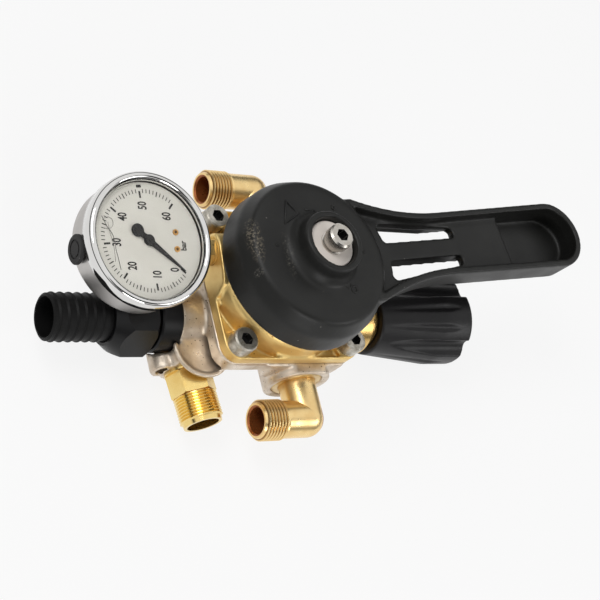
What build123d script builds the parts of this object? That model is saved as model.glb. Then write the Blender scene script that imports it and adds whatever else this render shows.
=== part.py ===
from build123d import *
import os
from math import cos, radians, sin, sqrt

# Pressure regulating and bypass control unit for a diaphragm pump.
# Frame: +Z up along the lever spindle, origin on the underside of the body below
# that spindle. +X points out of the adjusting knob, -X out of the hose tail, -Y out
# of the hexagon nipple and of the lower elbow. Millimetres.

os.makedirs("parts", exist_ok=True)

# ---------------------------------------------------------------- driving dimensions
PORT_Z = 28.0  # height of the two outlet axes above the base
MAIN_Y = -8.8  # the regulator bore runs along X at this Y
MAIN_Z = 25.5
RUNNING_GAP = 0.05  # radial clearance of sliding and turning fits

# body and cover
FLANGE_SIZE = 82.0
FLANGE_CORNER = 9.5
FLANGE_THICKNESS = 8.5
FLANGE_TOP = 43.5
DRUM_RADIUS = 26.0
SIDE_DRUM = (-43.2, -27.3)  # centre of the inlet drum
SIDE_DRUM_RIM = 16.3
SIDE_DRUM_TOP = 34.0
BARREL_RADIUS = 15.4
BARREL_LEFT = -55.0
BARREL_RIGHT = 54.0
KNOB_BOSS_RADIUS = 18.5
BOLT_OFFSET = 33.4
COVER_THICKNESS = 6.5
COVER_TOP = FLANGE_TOP + COVER_THICKNESS
COVER_RIM = 1.6
COVER_POCKET = 3.2
COVER_BOSS_RADIUS = 40.0
COVER_BOSS_TOP = 62.0
GUIDE_TOP = 80.0
GUIDE_RADIUS = 12.0
CHAMBER_RADIUS = 22.0
CHAMBER_FLOOR = 39.5
CHAMBER_CEILING = 58.0

# outlets on the two elbows
PORT_X = 12.5
PORT_FACE = 46.6
PORT_PAD_FACE = 42.2
PORT_PAD_ENDS = (-25.3, 20.8)  # from the outlet's axis, along X
PORT_PAD_BOTTOM = 28.5
PORT_BOSS_RADIUS = 17.7
ELBOW_AXIS_Y = 65.0
ELBOW_MOUTH_X = -18.0
ELBOW_RADIUS = 9.6
ELBOW_BORE = 6.75
ELBOW_COLLAR_RADIUS = 12.0
ELBOW_SPIGOT_RADIUS = 8.4
PIPE_THREAD_RADIUS = 10.4775  # G 1/2
PIPE_THREAD_DEPTH = 1.162
PIPE_THREAD_PITCH = 1.814
ELBOW_THREAD_LENGTH = 14.0

# inlet nipple and lug
NIPPLE_SEAT = (-45.0, -33.4, 18.0)  # centre of the face it seats on
NIPPLE_TURN = 5.0  # degrees that its axis leans from -Y towards +X
NIPPLE_LENGTH = 29.3
NIPPLE_THREAD_RADIUS = 11.0  # M22 x 1.5
NIPPLE_THREAD_PITCH = 1.5
NIPPLE_THREAD_DEPTH = 0.92
NIPPLE_HEX = 20.4
NIPPLE_HEX_TURN = 22.0
NIPPLE_SPOT = 13.6
NIPPLE_BORE = 8.2
LUG_X = -58.4
LUG_RADIUS = 7.0
LUG_BORE = 4.1
LUG_FRONT = -34.2
LUG_BACK = -23.3

# hose side
ADAPTOR_FACE = -82.5
ADAPTOR_FLANGE = -67.0
NUT_LEFT = -91.0
NUT_RIGHT = -69.0
NUT_RADIUS = 19.5
TAIL_MOUTH = -122.5
TAIL_RADIUS = 11.5
TAIL_BORE = 9.8
TAIL_RIDGE = 0.6

# knob side
GLAND_FACE = BARREL_RIGHT
GLAND_RADIUS = 18.0
GLAND_END = 75.0
KNOB_INNER = 69.0
KNOB_OUTER = 131.5
KNOB_INNER_RADIUS = 18.3
KNOB_OUTER_RADIUS = 23.8
KNOB_LOBES = 4
CREASE_RADIUS = 2.6
CREASE_DEPTH = 1.1
SPINDLE_RADIUS = 6.0
SPRING_CHAMBER = 11.0

# lever
LEVER_ANGLE = 6.3
SKIRT_BOTTOM = 66.5
SKIRT_RADIUS = 44.2
PLATEAU_Z = 89.0
HUB_TOP = 101.0
HUB_FLOOR = 95.5
STEM_TOP = 86.0
STEM_RADIUS = 7.0
ARM_BOTTOM = 69.0
ARM_TOP = 87.8
WEB_BOTTOM = 76.5
WEB_TOP = 81.5
RIM = 3.0
ARM_HALF = 17.3
ARM_DRAFT = 2.5  # degrees; the outline is wider at the top
TIP_HALF = 18.8
TIP_CENTRE = 172.8
POCKET_START = 137.0
SLOT_START = 50.0
SLOT_END = 101.0

# gauge: its face is turned about the stem's axis; heights below are from that axis
GAUGE_X = -83.75
STEM_Y = 14.8
STEM_Z = 54.85
GAUGE_TURN = 11.4
GAUGE_FRONT = 17.5
CASE_BACK = -6.0
CASE_TOP = 14.6
CASE_RADIUS = 31.8
CASE_WALL = 1.2
BEZEL_RADIUS = 33.3
DIAL_RADIUS = 28.6
DIAL_HEIGHT = 12.2
GAUGE_SEAT = -FLANGE_SIZE / 2  # the flat on the cover that the stem screws into
GAUGE_THREAD = 4.86  # G 1/8

# ---------------------------------------------------------------- planes and axes
MAIN_PLANE = Plane(origin=(0, MAIN_Y, MAIN_Z), x_dir=(1, 0, 0), z_dir=(0, -1, 0))
MAIN_AXIS = Axis((0, MAIN_Y, MAIN_Z), (1, 0, 0))
SPINDLE_PLANE = Plane(origin=(0, 0, 0), x_dir=(0, 0, 1), z_dir=(0, 1, 0))
NIPPLE_OUT = (sin(radians(NIPPLE_TURN)), -cos(radians(NIPPLE_TURN)), 0)
NIPPLE_ACROSS = (cos(radians(NIPPLE_TURN)), sin(radians(NIPPLE_TURN)), 0)
# local x runs outward from the seat, local y is radius
NIPPLE_PLANE = Plane(
    origin=NIPPLE_SEAT, x_dir=NIPPLE_OUT, z_dir=tuple(-part for part in NIPPLE_ACROSS)
)
NIPPLE_AXIS = Axis(NIPPLE_SEAT, NIPPLE_OUT)
PORT_AXIS = Axis((PORT_X, 0, PORT_Z), (0, 1, 0))
GAUGE_CENTRE = (GAUGE_X, STEM_Y, STEM_Z)
GAUGE_NORMAL = (0, -sin(radians(GAUGE_TURN)), cos(radians(GAUGE_TURN)))
GAUGE_AXIS = Axis(GAUGE_CENTRE, GAUGE_NORMAL)
# upright plane through the gauge: local x is radius, local y is height along its axis
GAUGE_PLANE = Plane(
    origin=GAUGE_CENTRE,
    x_dir=(1, 0, 0),
    z_dir=(0, -cos(radians(GAUGE_TURN)), -sin(radians(GAUGE_TURN))),
)


def gauge_level(height):
    """Plane parallel to the dial at this height above the stem's axis."""
    return Plane(origin=GAUGE_CENTRE, x_dir=(1, 0, 0), z_dir=GAUGE_NORMAL).offset(height)


def across_stem(x):
    """Plane square to the gauge's stem at this X, turned with the gauge."""
    return Plane(
        origin=(x, STEM_Y, STEM_Z),
        x_dir=(0, cos(radians(GAUGE_TURN)), sin(radians(GAUGE_TURN))),
        z_dir=(1, 0, 0),
    )


def across_main(x):
    """Plane square to the regulator's axis at this X."""
    return Plane(origin=(x, MAIN_Y, MAIN_Z), x_dir=(0, 1, 0), z_dir=(1, 0, 0))


def across_nipple(distance):
    """Plane square to the nipple's axis, this far outward from its seat."""
    return Plane(origin=NIPPLE_SEAT, x_dir=NIPPLE_ACROSS, z_dir=NIPPLE_OUT).offset(distance)


def port_plane(side):
    """Plane through an elbow's leg: local x runs outward from the body, local y is radius."""
    return Plane(origin=(PORT_X, 0, PORT_Z), x_dir=(0, side, 0), z_dir=(1, 0, 0))


def lever_plane(height):
    """Horizontal plane whose x runs along the lever's arm."""
    turn = radians(LEVER_ANGLE)
    return Plane(origin=(0, 0, height), x_dir=(cos(turn), sin(turn), 0), z_dir=(0, 0, 1))


def thread_outline(start, end, major, depth, pitch):
    """Points of a row of V threads from start to end, as (distance along the axis, radius)."""
    step = pitch if end > start else -pitch
    count = int(abs(end - start) / pitch)
    points = [(start, major - depth)]
    for turn in range(count):
        points.append((start + (turn + 0.42) * step, major))
        points.append((start + (turn + 0.58) * step, major))
        points.append((start + (turn + 1) * step, major - depth))
    return points


def o_ring(label, plane, axis, position, inner, section):
    """Rubber ring of round section, centred at position along the axis."""
    with BuildPart() as ring:
        with BuildSketch(plane):
            with Locations((position, inner + section / 2)):
                Circle(section / 2)
        revolve(axis=axis)
    ring.part.label = label
    return ring


# ================================================================ body and cover
# Forged body: square flange, drum on its base, regulator barrel along X, two outlet
# bosses, and the inlet drum with its branch and lug.
with BuildPart() as valve_body:
    with BuildSketch(Plane.XY.offset(FLANGE_TOP - FLANGE_THICKNESS)):
        RectangleRounded(FLANGE_SIZE, FLANGE_SIZE, FLANGE_CORNER)
    extrude(amount=FLANGE_THICKNESS)
    with BuildSketch(Plane.XY):
        Circle(DRUM_RADIUS)
    extrude(amount=FLANGE_TOP - FLANGE_THICKNESS)
    with BuildSketch(across_main(BARREL_LEFT)):
        Circle(BARREL_RADIUS)
    extrude(amount=BARREL_RIGHT - BARREL_LEFT)
    with BuildSketch(across_main(FLANGE_SIZE / 2)):
        Circle(KNOB_BOSS_RADIUS)
    extrude(amount=BARREL_RIGHT - FLANGE_SIZE / 2)
    # inlet drum below its rim, spot-faced where the nipple seats
    with BuildSketch(Plane.XY.offset(12)):
        with Locations(SIDE_DRUM):
            Circle(SIDE_DRUM_RIM - 1.6)
    extrude(amount=SIDE_DRUM_TOP - 14)
    with BuildSketch(across_nipple(-22)):
        Circle(NIPPLE_SPOT)
    extrude(amount=22)
    with BuildSketch(across_nipple(0)):
        Rectangle(60, 2 * (SIDE_DRUM_TOP - 2.8 - NIPPLE_SEAT[2]))
    extrude(amount=20, mode=Mode.SUBTRACT)
    # rim that stands out over the nipple, with a shallow groove inside its lip
    with BuildSketch(Plane(origin=(*SIDE_DRUM, 0), x_dir=(1, 0, 0), z_dir=(0, -1, 0))):
        with BuildLine():
            Polyline(
                (0, SIDE_DRUM_TOP - 2.8), (SIDE_DRUM_RIM - 0.6, SIDE_DRUM_TOP - 2.8),
                (SIDE_DRUM_RIM, SIDE_DRUM_TOP - 2.2), (SIDE_DRUM_RIM, SIDE_DRUM_TOP - 0.6),
                (SIDE_DRUM_RIM - 0.6, SIDE_DRUM_TOP), (SIDE_DRUM_RIM - 1.8, SIDE_DRUM_TOP),
                (SIDE_DRUM_RIM - 2.6, SIDE_DRUM_TOP - 1.4), (0, SIDE_DRUM_TOP - 1.4), close=True,
            )
        make_face()
    revolve(axis=Axis((*SIDE_DRUM, 0), (0, 0, 1)))
    with BuildSketch(Plane.XZ.offset(-LUG_BACK)):
        with Locations((LUG_X, NIPPLE_SEAT[2])):
            Circle(LUG_RADIUS)
        with Locations((LUG_X + 4, NIPPLE_SEAT[2])):
            Rectangle(8, 9)
    extrude(amount=LUG_BACK - LUG_FRONT)
    # outlet bosses on both Y faces: pad under the flange, then round boss
    for side in (-1, 1):
        with BuildSketch(Plane(origin=(PORT_X, 0, PORT_Z), x_dir=(1, 0, 0), z_dir=(0, side, 0))):
            Circle(BARREL_RADIUS)
        extrude(amount=PORT_PAD_FACE)
        with BuildSketch(Plane(origin=(PORT_X, side * 34, 0), x_dir=(-side, 0, 0), z_dir=(0, side, 0))):
            with BuildLine():
                low_end, high_end = (-side * end for end in PORT_PAD_ENDS)
                pad = FilletPolyline(
                    (low_end, FLANGE_TOP), (low_end, PORT_PAD_BOTTOM),
                    (high_end, PORT_PAD_BOTTOM), (high_end, FLANGE_TOP), radius=[5.5, 5.5],
                )
                Line(pad @ 1, pad @ 0)
            make_face()
        extrude(amount=PORT_PAD_FACE - 34)
        with BuildSketch(port_plane(side)):
            with BuildLine():
                Polyline(
                    (30, 0), (30, PORT_BOSS_RADIUS), (PORT_FACE - 0.8, PORT_BOSS_RADIUS),
                    (PORT_FACE, PORT_BOSS_RADIUS - 0.8), (PORT_FACE, 0), close=True,
                )
            make_face()
        revolve(axis=PORT_AXIS)
    with BuildSketch(Plane.XY.offset(FLANGE_TOP)):
        Rectangle(FLANGE_SIZE + 20, 2 * PORT_FACE + 2)
    extrude(amount=30, mode=Mode.SUBTRACT)
    # room for the adaptor's flange beside the inlet drum and the lug
    with BuildSketch(across_main(BARREL_LEFT)):
        Circle(17.7)
    extrude(amount=-20, mode=Mode.SUBTRACT)
    # regulator bore: adaptor thread, return passage, seat step, spring chamber, gland thread
    with BuildSketch(MAIN_PLANE):
        with BuildLine():
            Polyline(
                (BARREL_LEFT, 0), (BARREL_LEFT, 12.0), (-45.8, 12.0), (-45.8, 8.0), (-8.0, 8.0),
                (-8.0, SPRING_CHAMBER), (40.5, SPRING_CHAMBER), (40.5, 13.0), (BARREL_RIGHT, 13.0),
                (BARREL_RIGHT, 0), close=True,
            )
        make_face()
    revolve(axis=MAIN_AXIS, mode=Mode.SUBTRACT)
    # bypass chamber, its seat passage and the duct to the upper outlet
    with BuildSketch(Plane.XY.offset(CHAMBER_FLOOR)):
        Circle(CHAMBER_RADIUS)
    extrude(amount=10, mode=Mode.SUBTRACT)
    with BuildSketch(Plane.XY.offset(PORT_Z)):
        Circle(5)
        with Locations((PORT_X, 16)):
            Circle(4)
    extrude(amount=20, mode=Mode.SUBTRACT)
    # outlet bores: ring-nut thread, collar, spigot, gallery
    for side in (-1, 1):
        with BuildSketch(port_plane(side)):
            with BuildLine():
                Polyline(
                    (14, 0), (14, 6.5), (26, 6.5), (26, ELBOW_SPIGOT_RADIUS + RUNNING_GAP),
                    (35.7, ELBOW_SPIGOT_RADIUS + RUNNING_GAP), (35.7, 13.3),
                    (PORT_FACE - 1, 13.3), (PORT_FACE, 14.3), (PORT_FACE, 0), close=True,
                )
            make_face()
        revolve(axis=PORT_AXIS, mode=Mode.SUBTRACT)
    # inlet bore, the slanting passage from it, and the hole through the lug
    with BuildSketch(across_nipple(0)):
        Circle(NIPPLE_SPOT - 1.2)
    extrude(amount=2, mode=Mode.SUBTRACT)
    with BuildSketch(across_nipple(0)):
        Circle(9.9)
    extrude(amount=-9.5, mode=Mode.SUBTRACT)
    with BuildSketch(Plane(origin=(-45.5, -25.5, 18), z_dir=(11.5, 15.5, 6))):
        Circle(3.5)
    extrude(amount=20, mode=Mode.SUBTRACT)
    with BuildSketch(Plane.XZ.offset(-LUG_FRONT)):
        with Locations((LUG_X, NIPPLE_SEAT[2])):
            Circle(LUG_BORE)
    extrude(amount=-12, mode=Mode.SUBTRACT)
    # cover bolts and the groove for the cover's seal
    with BuildSketch(Plane.XY.offset(FLANGE_TOP)):
        with GridLocations(2 * BOLT_OFFSET, 2 * BOLT_OFFSET, 2, 2):
            Circle(4)
    extrude(amount=-FLANGE_THICKNESS - 1, mode=Mode.SUBTRACT)
    with BuildSketch(Plane.XY.offset(FLANGE_TOP)):
        Circle(26.3)
        Circle(23.4, mode=Mode.SUBTRACT)
    extrude(amount=-2.4, mode=Mode.SUBTRACT)
valve_body.part.label = "valve_body"

# Brass cover: square flange with sunk corner pockets, round boss, guide tube, and the
# flat-faced block that the gauge screws into.
with BuildPart() as top_cover:
    with BuildSketch(Plane.XY.offset(FLANGE_TOP)):
        RectangleRounded(FLANGE_SIZE, FLANGE_SIZE, FLANGE_CORNER)
    extrude(amount=COVER_THICKNESS)
    with BuildSketch(Plane.XY.offset(COVER_TOP)):
        RectangleRounded(
            FLANGE_SIZE - 2 * COVER_RIM, FLANGE_SIZE - 2 * COVER_RIM, FLANGE_CORNER - COVER_RIM
        )
        Circle(COVER_BOSS_RADIUS, mode=Mode.SUBTRACT)
        with GridLocations(2 * BOLT_OFFSET, 2 * BOLT_OFFSET, 2, 2):
            Circle(7.6, mode=Mode.SUBTRACT)
    extrude(amount=-COVER_POCKET, mode=Mode.SUBTRACT)
    with BuildSketch(Plane.XZ):
        with BuildLine():
            boss = FilletPolyline(
                (0, COVER_TOP - COVER_POCKET), (COVER_BOSS_RADIUS, COVER_TOP - COVER_POCKET),
                (COVER_BOSS_RADIUS - 0.6, COVER_BOSS_TOP), (GUIDE_RADIUS, COVER_BOSS_TOP),
                (GUIDE_RADIUS, GUIDE_TOP), (0, GUIDE_TOP), radius=[0, 5.0, 1.5, 0.8],
            )
            Line(boss @ 1, boss @ 0)
        make_face()
    revolve(axis=Axis.Z)
    with BuildSketch(Plane.YZ.offset(GAUGE_SEAT)):
        with BuildLine():
            arch = FilletPolyline(
                (-9, FLANGE_TOP), (-8.6, 53), (-5, 60), (1, 61.8), (15, 63.8), (22, 61.5),
                (24, 53), (24.3, FLANGE_TOP), radius=[5, 3, 4, 5, 4, 4],
            )
            Line(arch @ 1, arch @ 0)
        make_face()
    extrude(amount=20)
    with BuildSketch(Plane.XZ):
        with BuildLine():
            Polyline(
                (0, FLANGE_TOP), (CHAMBER_RADIUS, FLANGE_TOP), (CHAMBER_RADIUS, CHAMBER_CEILING - 2),
                (CHAMBER_RADIUS - 2, CHAMBER_CEILING), (STEM_RADIUS + RUNNING_GAP, CHAMBER_CEILING),
                (STEM_RADIUS + RUNNING_GAP, 68.0), (9.2, 68.0), (9.2, 71.0),
                (STEM_RADIUS + RUNNING_GAP, 71.0), (STEM_RADIUS + RUNNING_GAP, GUIDE_TOP),
                (0, GUIDE_TOP), close=True,
            )
        make_face()
    revolve(axis=Axis.Z, mode=Mode.SUBTRACT)
    with BuildSketch(Plane.XY.offset(FLANGE_TOP)):
        with GridLocations(2 * BOLT_OFFSET, 2 * BOLT_OFFSET, 2, 2):
            Circle(4.3)
    extrude(amount=20, mode=Mode.SUBTRACT)
    # counterbores so that the screw heads seat on flat spots beside the boss
    with BuildSketch(Plane.XY.offset(COVER_TOP)):
        with GridLocations(2 * BOLT_OFFSET, 2 * BOLT_OFFSET, 2, 2):
            Circle(7.0)
    extrude(amount=20, mode=Mode.SUBTRACT)
    # gauge thread and the duct from it into the chamber
    with BuildSketch(across_stem(GAUGE_SEAT)):
        Circle(GAUGE_THREAD)
    extrude(amount=8.5, mode=Mode.SUBTRACT)
    with BuildSketch(across_stem(GAUGE_SEAT)):
        Circle(1.5)
    extrude(amount=28, mode=Mode.SUBTRACT)
top_cover.part.label = "top_cover"

# Rubber ring in the groove under the cover.
cover_seal = o_ring("cover_seal", SPINDLE_PLANE, Axis.Z, FLANGE_TOP - 1.25, 23.7, 2.3)

# Four socket-head cap screws, M8.
with BuildPart() as cover_screws:
    with BuildSketch(Plane.XY.offset(COVER_TOP)):
        with GridLocations(2 * BOLT_OFFSET, 2 * BOLT_OFFSET, 2, 2):
            Circle(6.5)
    extrude(amount=8)
    chamfer(cover_screws.edges().filter_by(GeomType.CIRCLE).group_by(Axis.Z)[-1], 0.7)
    with BuildSketch(Plane.XY.offset(COVER_TOP)):
        with GridLocations(2 * BOLT_OFFSET, 2 * BOLT_OFFSET, 2, 2):
            Circle(3.95)
    extrude(amount=-(COVER_TOP - FLANGE_TOP + FLANGE_THICKNESS - 0.5))
    with BuildSketch(Plane.XY.offset(COVER_TOP + 8)):
        with GridLocations(2 * BOLT_OFFSET, 2 * BOLT_OFFSET, 2, 2):
            RegularPolygon(radius=3.46, side_count=6)
    extrude(amount=-4, mode=Mode.SUBTRACT)
cover_screws.part.label = "cover_screws"

# ================================================================ bypass valve and lever
# Steel stem: valve disc at its foot, tapped hole at its top.
with BuildPart() as stem:
    with BuildSketch(Plane.XZ):
        with BuildLine():
            Polyline(
                (0, CHAMBER_FLOOR + 1.7), (15, CHAMBER_FLOOR + 1.7), (16, CHAMBER_FLOOR + 2.7),
                (16, CHAMBER_FLOOR + 4.9), (STEM_RADIUS, CHAMBER_FLOOR + 4.9),
                (STEM_RADIUS, STEM_TOP), (4.0, STEM_TOP), (4.0, STEM_TOP - 16),
                (0, STEM_TOP - 18), close=True,
            )
        make_face()
    revolve(axis=Axis.Z)
stem.part.label = "stem"

# Rubber pad bonded under the disc, which closes the seat passage.
with BuildPart() as valve_pad:
    with BuildSketch(Plane.XY.offset(CHAMBER_FLOOR + 0.05)):
        Circle(8)
    extrude(amount=1.65)
valve_pad.part.label = "valve_pad"

stem_seal = o_ring("stem_seal", SPINDLE_PLANE, Axis.Z, 69.5, STEM_RADIUS + 0.06, 2.05)

# Coil spring that holds the disc on its seat.
SPRING_FOOT = CHAMBER_FLOOR + 4.9
BYPASS_WIRE = 1.5
with BuildPart() as bypass_spring:
    with BuildLine():
        coil = Helix(
            pitch=4.0,
            height=CHAMBER_CEILING - SPRING_FOOT - 2 * BYPASS_WIRE - 0.1,
            radius=12.8,
            center=(0, 0, SPRING_FOOT + BYPASS_WIRE + 0.05),
        )
    with BuildSketch(Plane(coil @ 0, z_dir=coil % 0)):
        Circle(BYPASS_WIRE)
    sweep(path=coil)
bypass_spring.part.label = "bypass_spring"

# Black moulded lever: domed skirt, hub, slotted arm and trough-shaped handle.
with BuildPart() as lever:
    with BuildSketch(lever_plane(ARM_BOTTOM)) as arm_outline:
        with BuildLine():
            root = Line((19, 28.0), (32, 27.8))
            flare = ThreePointArc(root @ 1, (56, 20.4), (88, ARM_HALF))
            upper = Line(flare @ 1, (TIP_CENTRE, TIP_HALF))
            tip = ThreePointArc(upper @ 1, (TIP_CENTRE + TIP_HALF, 0), (TIP_CENTRE, -TIP_HALF))
            lower = Line(tip @ 1, (88, -ARM_HALF))
            inward = ThreePointArc(lower @ 1, (56, -20.4), (32, -27.8))
            Line(inward @ 1, (19, -28.0))
            Line((19, -28.0), root @ 0)
        make_face()
    extrude(amount=ARM_TOP - ARM_BOTTOM, taper=-ARM_DRAFT)
    fillet(lever.edges().group_by(Axis.Z)[-1], 1.3)
    fillet(lever.edges().group_by(Axis.Z)[0], 2.2)
    # trough: shallow over the web, deep in the handle
    with BuildSketch(lever_plane(WEB_TOP)):
        add(arm_outline.face().moved(Location((0, 0, WEB_TOP - ARM_BOTTOM))))
        offset(amount=-RIM)
    extrude(amount=10, mode=Mode.SUBTRACT)
    with BuildSketch(lever_plane(ARM_BOTTOM + 4.5)):
        with Locations(((POCKET_START + TIP_CENTRE) / 2, 0)):
            Rectangle(TIP_CENTRE - POCKET_START, 2 * (TIP_HALF - RIM) - 0.8)
        with Locations((TIP_CENTRE, 0)):
            Circle(TIP_HALF - RIM - 0.4)
    extrude(amount=20, mode=Mode.SUBTRACT)
    with BuildSketch(lever_plane(ARM_BOTTOM)):
        with BuildLine():
            Polyline((20, 26), (32, 24.8), (56, 17.2), (88, 13.8), (133, 14.4), (133, -14.4),
                     (88, -13.8), (56, -17.2), (32, -24.8), (20, -26), close=True)
        make_face()
    extrude(amount=WEB_BOTTOM - ARM_BOTTOM, mode=Mode.SUBTRACT)
    # bar under the middle of the web
    with BuildSketch(lever_plane(WEB_BOTTOM - 4.5)):
        with Locations((76, 0)):
            Rectangle(118, 10.4)
    extrude(amount=5.5)
    # two tapering slots through the web
    for side in (-1, 1):
        with BuildSketch(lever_plane(WEB_BOTTOM - 1)):
            with BuildLine():
                FilletPolyline(
                    (SLOT_START, side * 5.2), (SLOT_END, side * 5.2), (SLOT_END, side * 10.7),
                    (SLOT_START - 2.5, side * 16.3), radius=2.4, close=True,
                )
            make_face()
        extrude(amount=10, mode=Mode.SUBTRACT)
    # dome and hub
    with BuildSketch(Plane.XZ):
        with BuildLine():
            skin = FilletPolyline(
                (0, SKIRT_BOTTOM), (SKIRT_RADIUS, SKIRT_BOTTOM), (SKIRT_RADIUS - 1.2, 79.5),
                (38.6, 88.4), (34.0, PLATEAU_Z), (20.5, PLATEAU_Z + 0.3),
                (17.2, 93.5), (16.4, HUB_TOP), (0, HUB_TOP),
                radius=[0.8, 7.0, 4.0, 3.0, 2.5, 4.0, 0.9],
            )
            Line(skin @ 1, skin @ 0)
        make_face()
    revolve(axis=Axis.Z)
    with BuildSketch(Plane.XZ):
        with BuildLine():
            Polyline(
                (18.8, SKIRT_BOTTOM), (41.0, SKIRT_BOTTOM), (40.2, 78.0), (36.0, 83.0),
                (18.8, 85.0), close=True,
            )
        make_face()
    revolve(axis=Axis.Z, mode=Mode.SUBTRACT)
    with BuildSketch(Plane.XY.offset(74)):
        with PolarLocations(0, 6, start_angle=LEVER_ANGLE + 30):
            with Locations((28, 0)):
                Rectangle(21, 2.2)
    extrude(amount=10.5)
    with BuildSketch(Plane.XZ):
        with BuildLine():
            Polyline(
                (0, SKIRT_BOTTOM), (15.5, SKIRT_BOTTOM), (15.5, GUIDE_TOP + 0.2),
                (12.6, GUIDE_TOP + 0.2), (12.6, STEM_TOP), (4.1, STEM_TOP), (4.1, HUB_FLOOR),
                (12.6, HUB_FLOOR), (13.3, HUB_TOP), (0, HUB_TOP), close=True,
            )
        make_face()
    revolve(axis=Axis.Z, mode=Mode.SUBTRACT)
lever.part.label = "lever"

# Brass bush moulded into the hub; its steep thread runs on the cover's guide tube.
with BuildPart() as lever_bush:
    with BuildSketch(Plane.XY.offset(SKIRT_BOTTOM + 0.4)):
        Circle(15.5)
        Circle(GUIDE_RADIUS + RUNNING_GAP, mode=Mode.SUBTRACT)
    extrude(amount=GUIDE_TOP - SKIRT_BOTTOM - 0.4)
lever_bush.part.label = "lever_bush"

with BuildPart() as lever_washer:
    with BuildSketch(Plane.XY.offset(HUB_FLOOR)):
        Circle(12.4)
        Circle(4.1, mode=Mode.SUBTRACT)
    extrude(amount=2.2)
    chamfer(lever_washer.edges().group_by(Axis.Z)[-1].sort_by(SortBy.RADIUS)[-1], 0.4)
lever_washer.part.label = "lever_washer"

# Long-headed socket screw standing in the hub.
SCREW_SEAT = HUB_FLOOR + 2.2
SCREW_TOP = 107.0
with BuildPart() as lever_screw:
    with BuildSketch(Plane.XZ):
        with BuildLine():
            Polyline(
                (0, STEM_TOP - 12), (3.95, STEM_TOP - 12), (3.95, SCREW_SEAT), (6.2, SCREW_SEAT),
                (6.2, SCREW_SEAT + 0.6), (5.5, SCREW_SEAT + 0.9), (5.5, SCREW_SEAT + 3.2),
                (6.6, SCREW_SEAT + 3.7), (6.6, SCREW_TOP - 0.9),
                (5.7, SCREW_TOP), (0, SCREW_TOP), close=True,
            )
        make_face()
    revolve(axis=Axis.Z)
    with BuildSketch(Plane.XY.offset(SCREW_TOP)):
        RegularPolygon(radius=3.46, side_count=6)
    extrude(amount=-4.5, mode=Mode.SUBTRACT)
lever_screw.part.label = "lever_screw"

# ================================================================ pressure regulator
with BuildPart() as gland:
    with BuildSketch(MAIN_PLANE):
        with BuildLine():
            Polyline(
                (41.5, SPINDLE_RADIUS), (41.5, 13.0), (GLAND_FACE, 13.0),
                (GLAND_FACE, GLAND_RADIUS - 0.6), (GLAND_FACE + 0.6, GLAND_RADIUS),
                (GLAND_FACE + 9, GLAND_RADIUS), (GLAND_FACE + 10, GLAND_RADIUS - 1.0),
                (GLAND_FACE + 10, 14.5), (KNOB_INNER - 0.8, 14.5), (KNOB_INNER - 0.4, 12.0),
                (GLAND_END, 12.0), (GLAND_END, SPINDLE_RADIUS),
                (62.4, SPINDLE_RADIUS), (62.4, 8.0), (60.2, 8.0), (60.2, SPINDLE_RADIUS),
                close=True,
            )
        make_face()
    revolve(axis=MAIN_AXIS)
gland.part.label = "gland"

gland_seal = o_ring("gland_seal", MAIN_PLANE, MAIN_AXIS, 61.3, SPINDLE_RADIUS, 1.95)

# Steel adjusting spindle that the knob turns.
with BuildPart() as spindle:
    with BuildSketch(MAIN_PLANE):
        with BuildLine():
            Polyline(
                (28, 0), (28, SPINDLE_RADIUS - 1), (29, SPINDLE_RADIUS - RUNNING_GAP),
                (120, SPINDLE_RADIUS - RUNNING_GAP), (120, 3.0), (106, 3.0), (104.5, 0),
                close=True,
            )
        make_face()
    revolve(axis=MAIN_AXIS)
spindle.part.label = "spindle"

# Black grooved knob, wider at its outer end.
with BuildPart() as knob:
    with BuildSketch(MAIN_PLANE):
        with BuildLine():
            skin = FilletPolyline(
                (KNOB_INNER, 13.0), (KNOB_INNER, KNOB_INNER_RADIUS),
                (112, KNOB_OUTER_RADIUS), (KNOB_OUTER - 2.4, KNOB_OUTER_RADIUS),
                (KNOB_OUTER, KNOB_OUTER_RADIUS - 3.4), (KNOB_OUTER, 11.5),
                (KNOB_OUTER - 4, 11.0), (KNOB_OUTER - 4, 3.1),
                (120, 3.1), (120, SPINDLE_RADIUS), (79, SPINDLE_RADIUS), (79, 13.0),
                radius=[0.8, 30.0, 1.6, 1.6, 1.0, 0.5, 0, 0, 0, 0],
            )
            Line(skin @ 1, skin @ 0)
        make_face()
    revolve(axis=MAIN_AXIS)
    # deep finger grooves with shallow flutes between them
    with BuildSketch(across_main(KNOB_INNER - 1)):
        with PolarLocations(24.7, KNOB_LOBES, start_angle=63):
            Circle(5.5)
    extrude(amount=80, mode=Mode.SUBTRACT)
    # two thin creases on each lobe, which run out before the knob's ends
    for crease in range(2 * KNOB_LOBES):
        turn = radians(108 + 90 * (crease // 2) + (14 if crease % 2 else -14))
        outward = Vector(0, cos(turn), sin(turn))
        start = Vector(KNOB_INNER + 1, MAIN_Y, MAIN_Z) + outward * (KNOB_INNER_RADIUS + CREASE_RADIUS + 0.1)
        end = Vector(112, MAIN_Y, MAIN_Z) + outward * (KNOB_OUTER_RADIUS + CREASE_RADIUS - CREASE_DEPTH)
        with BuildSketch(Plane(origin=start, x_dir=(0, -sin(turn), cos(turn)), z_dir=end - start)):
            Circle(CREASE_RADIUS)
        extrude(amount=70, mode=Mode.SUBTRACT)
knob.part.label = "knob"

with BuildPart() as knob_screw:
    with BuildSketch(across_main(KNOB_OUTER - 4)):
        Circle(5)
    extrude(amount=4.6)
    chamfer(knob_screw.edges().group_by(Axis.X)[-1], 0.6)
    with BuildSketch(across_main(KNOB_OUTER - 4)):
        Circle(2.95)
    extrude(amount=-18)
    with BuildSketch(across_main(KNOB_OUTER + 1)):
        RegularPolygon(radius=2.89, side_count=6)
    extrude(amount=-3.4, mode=Mode.SUBTRACT)
knob_screw.part.label = "knob_screw"

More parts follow.
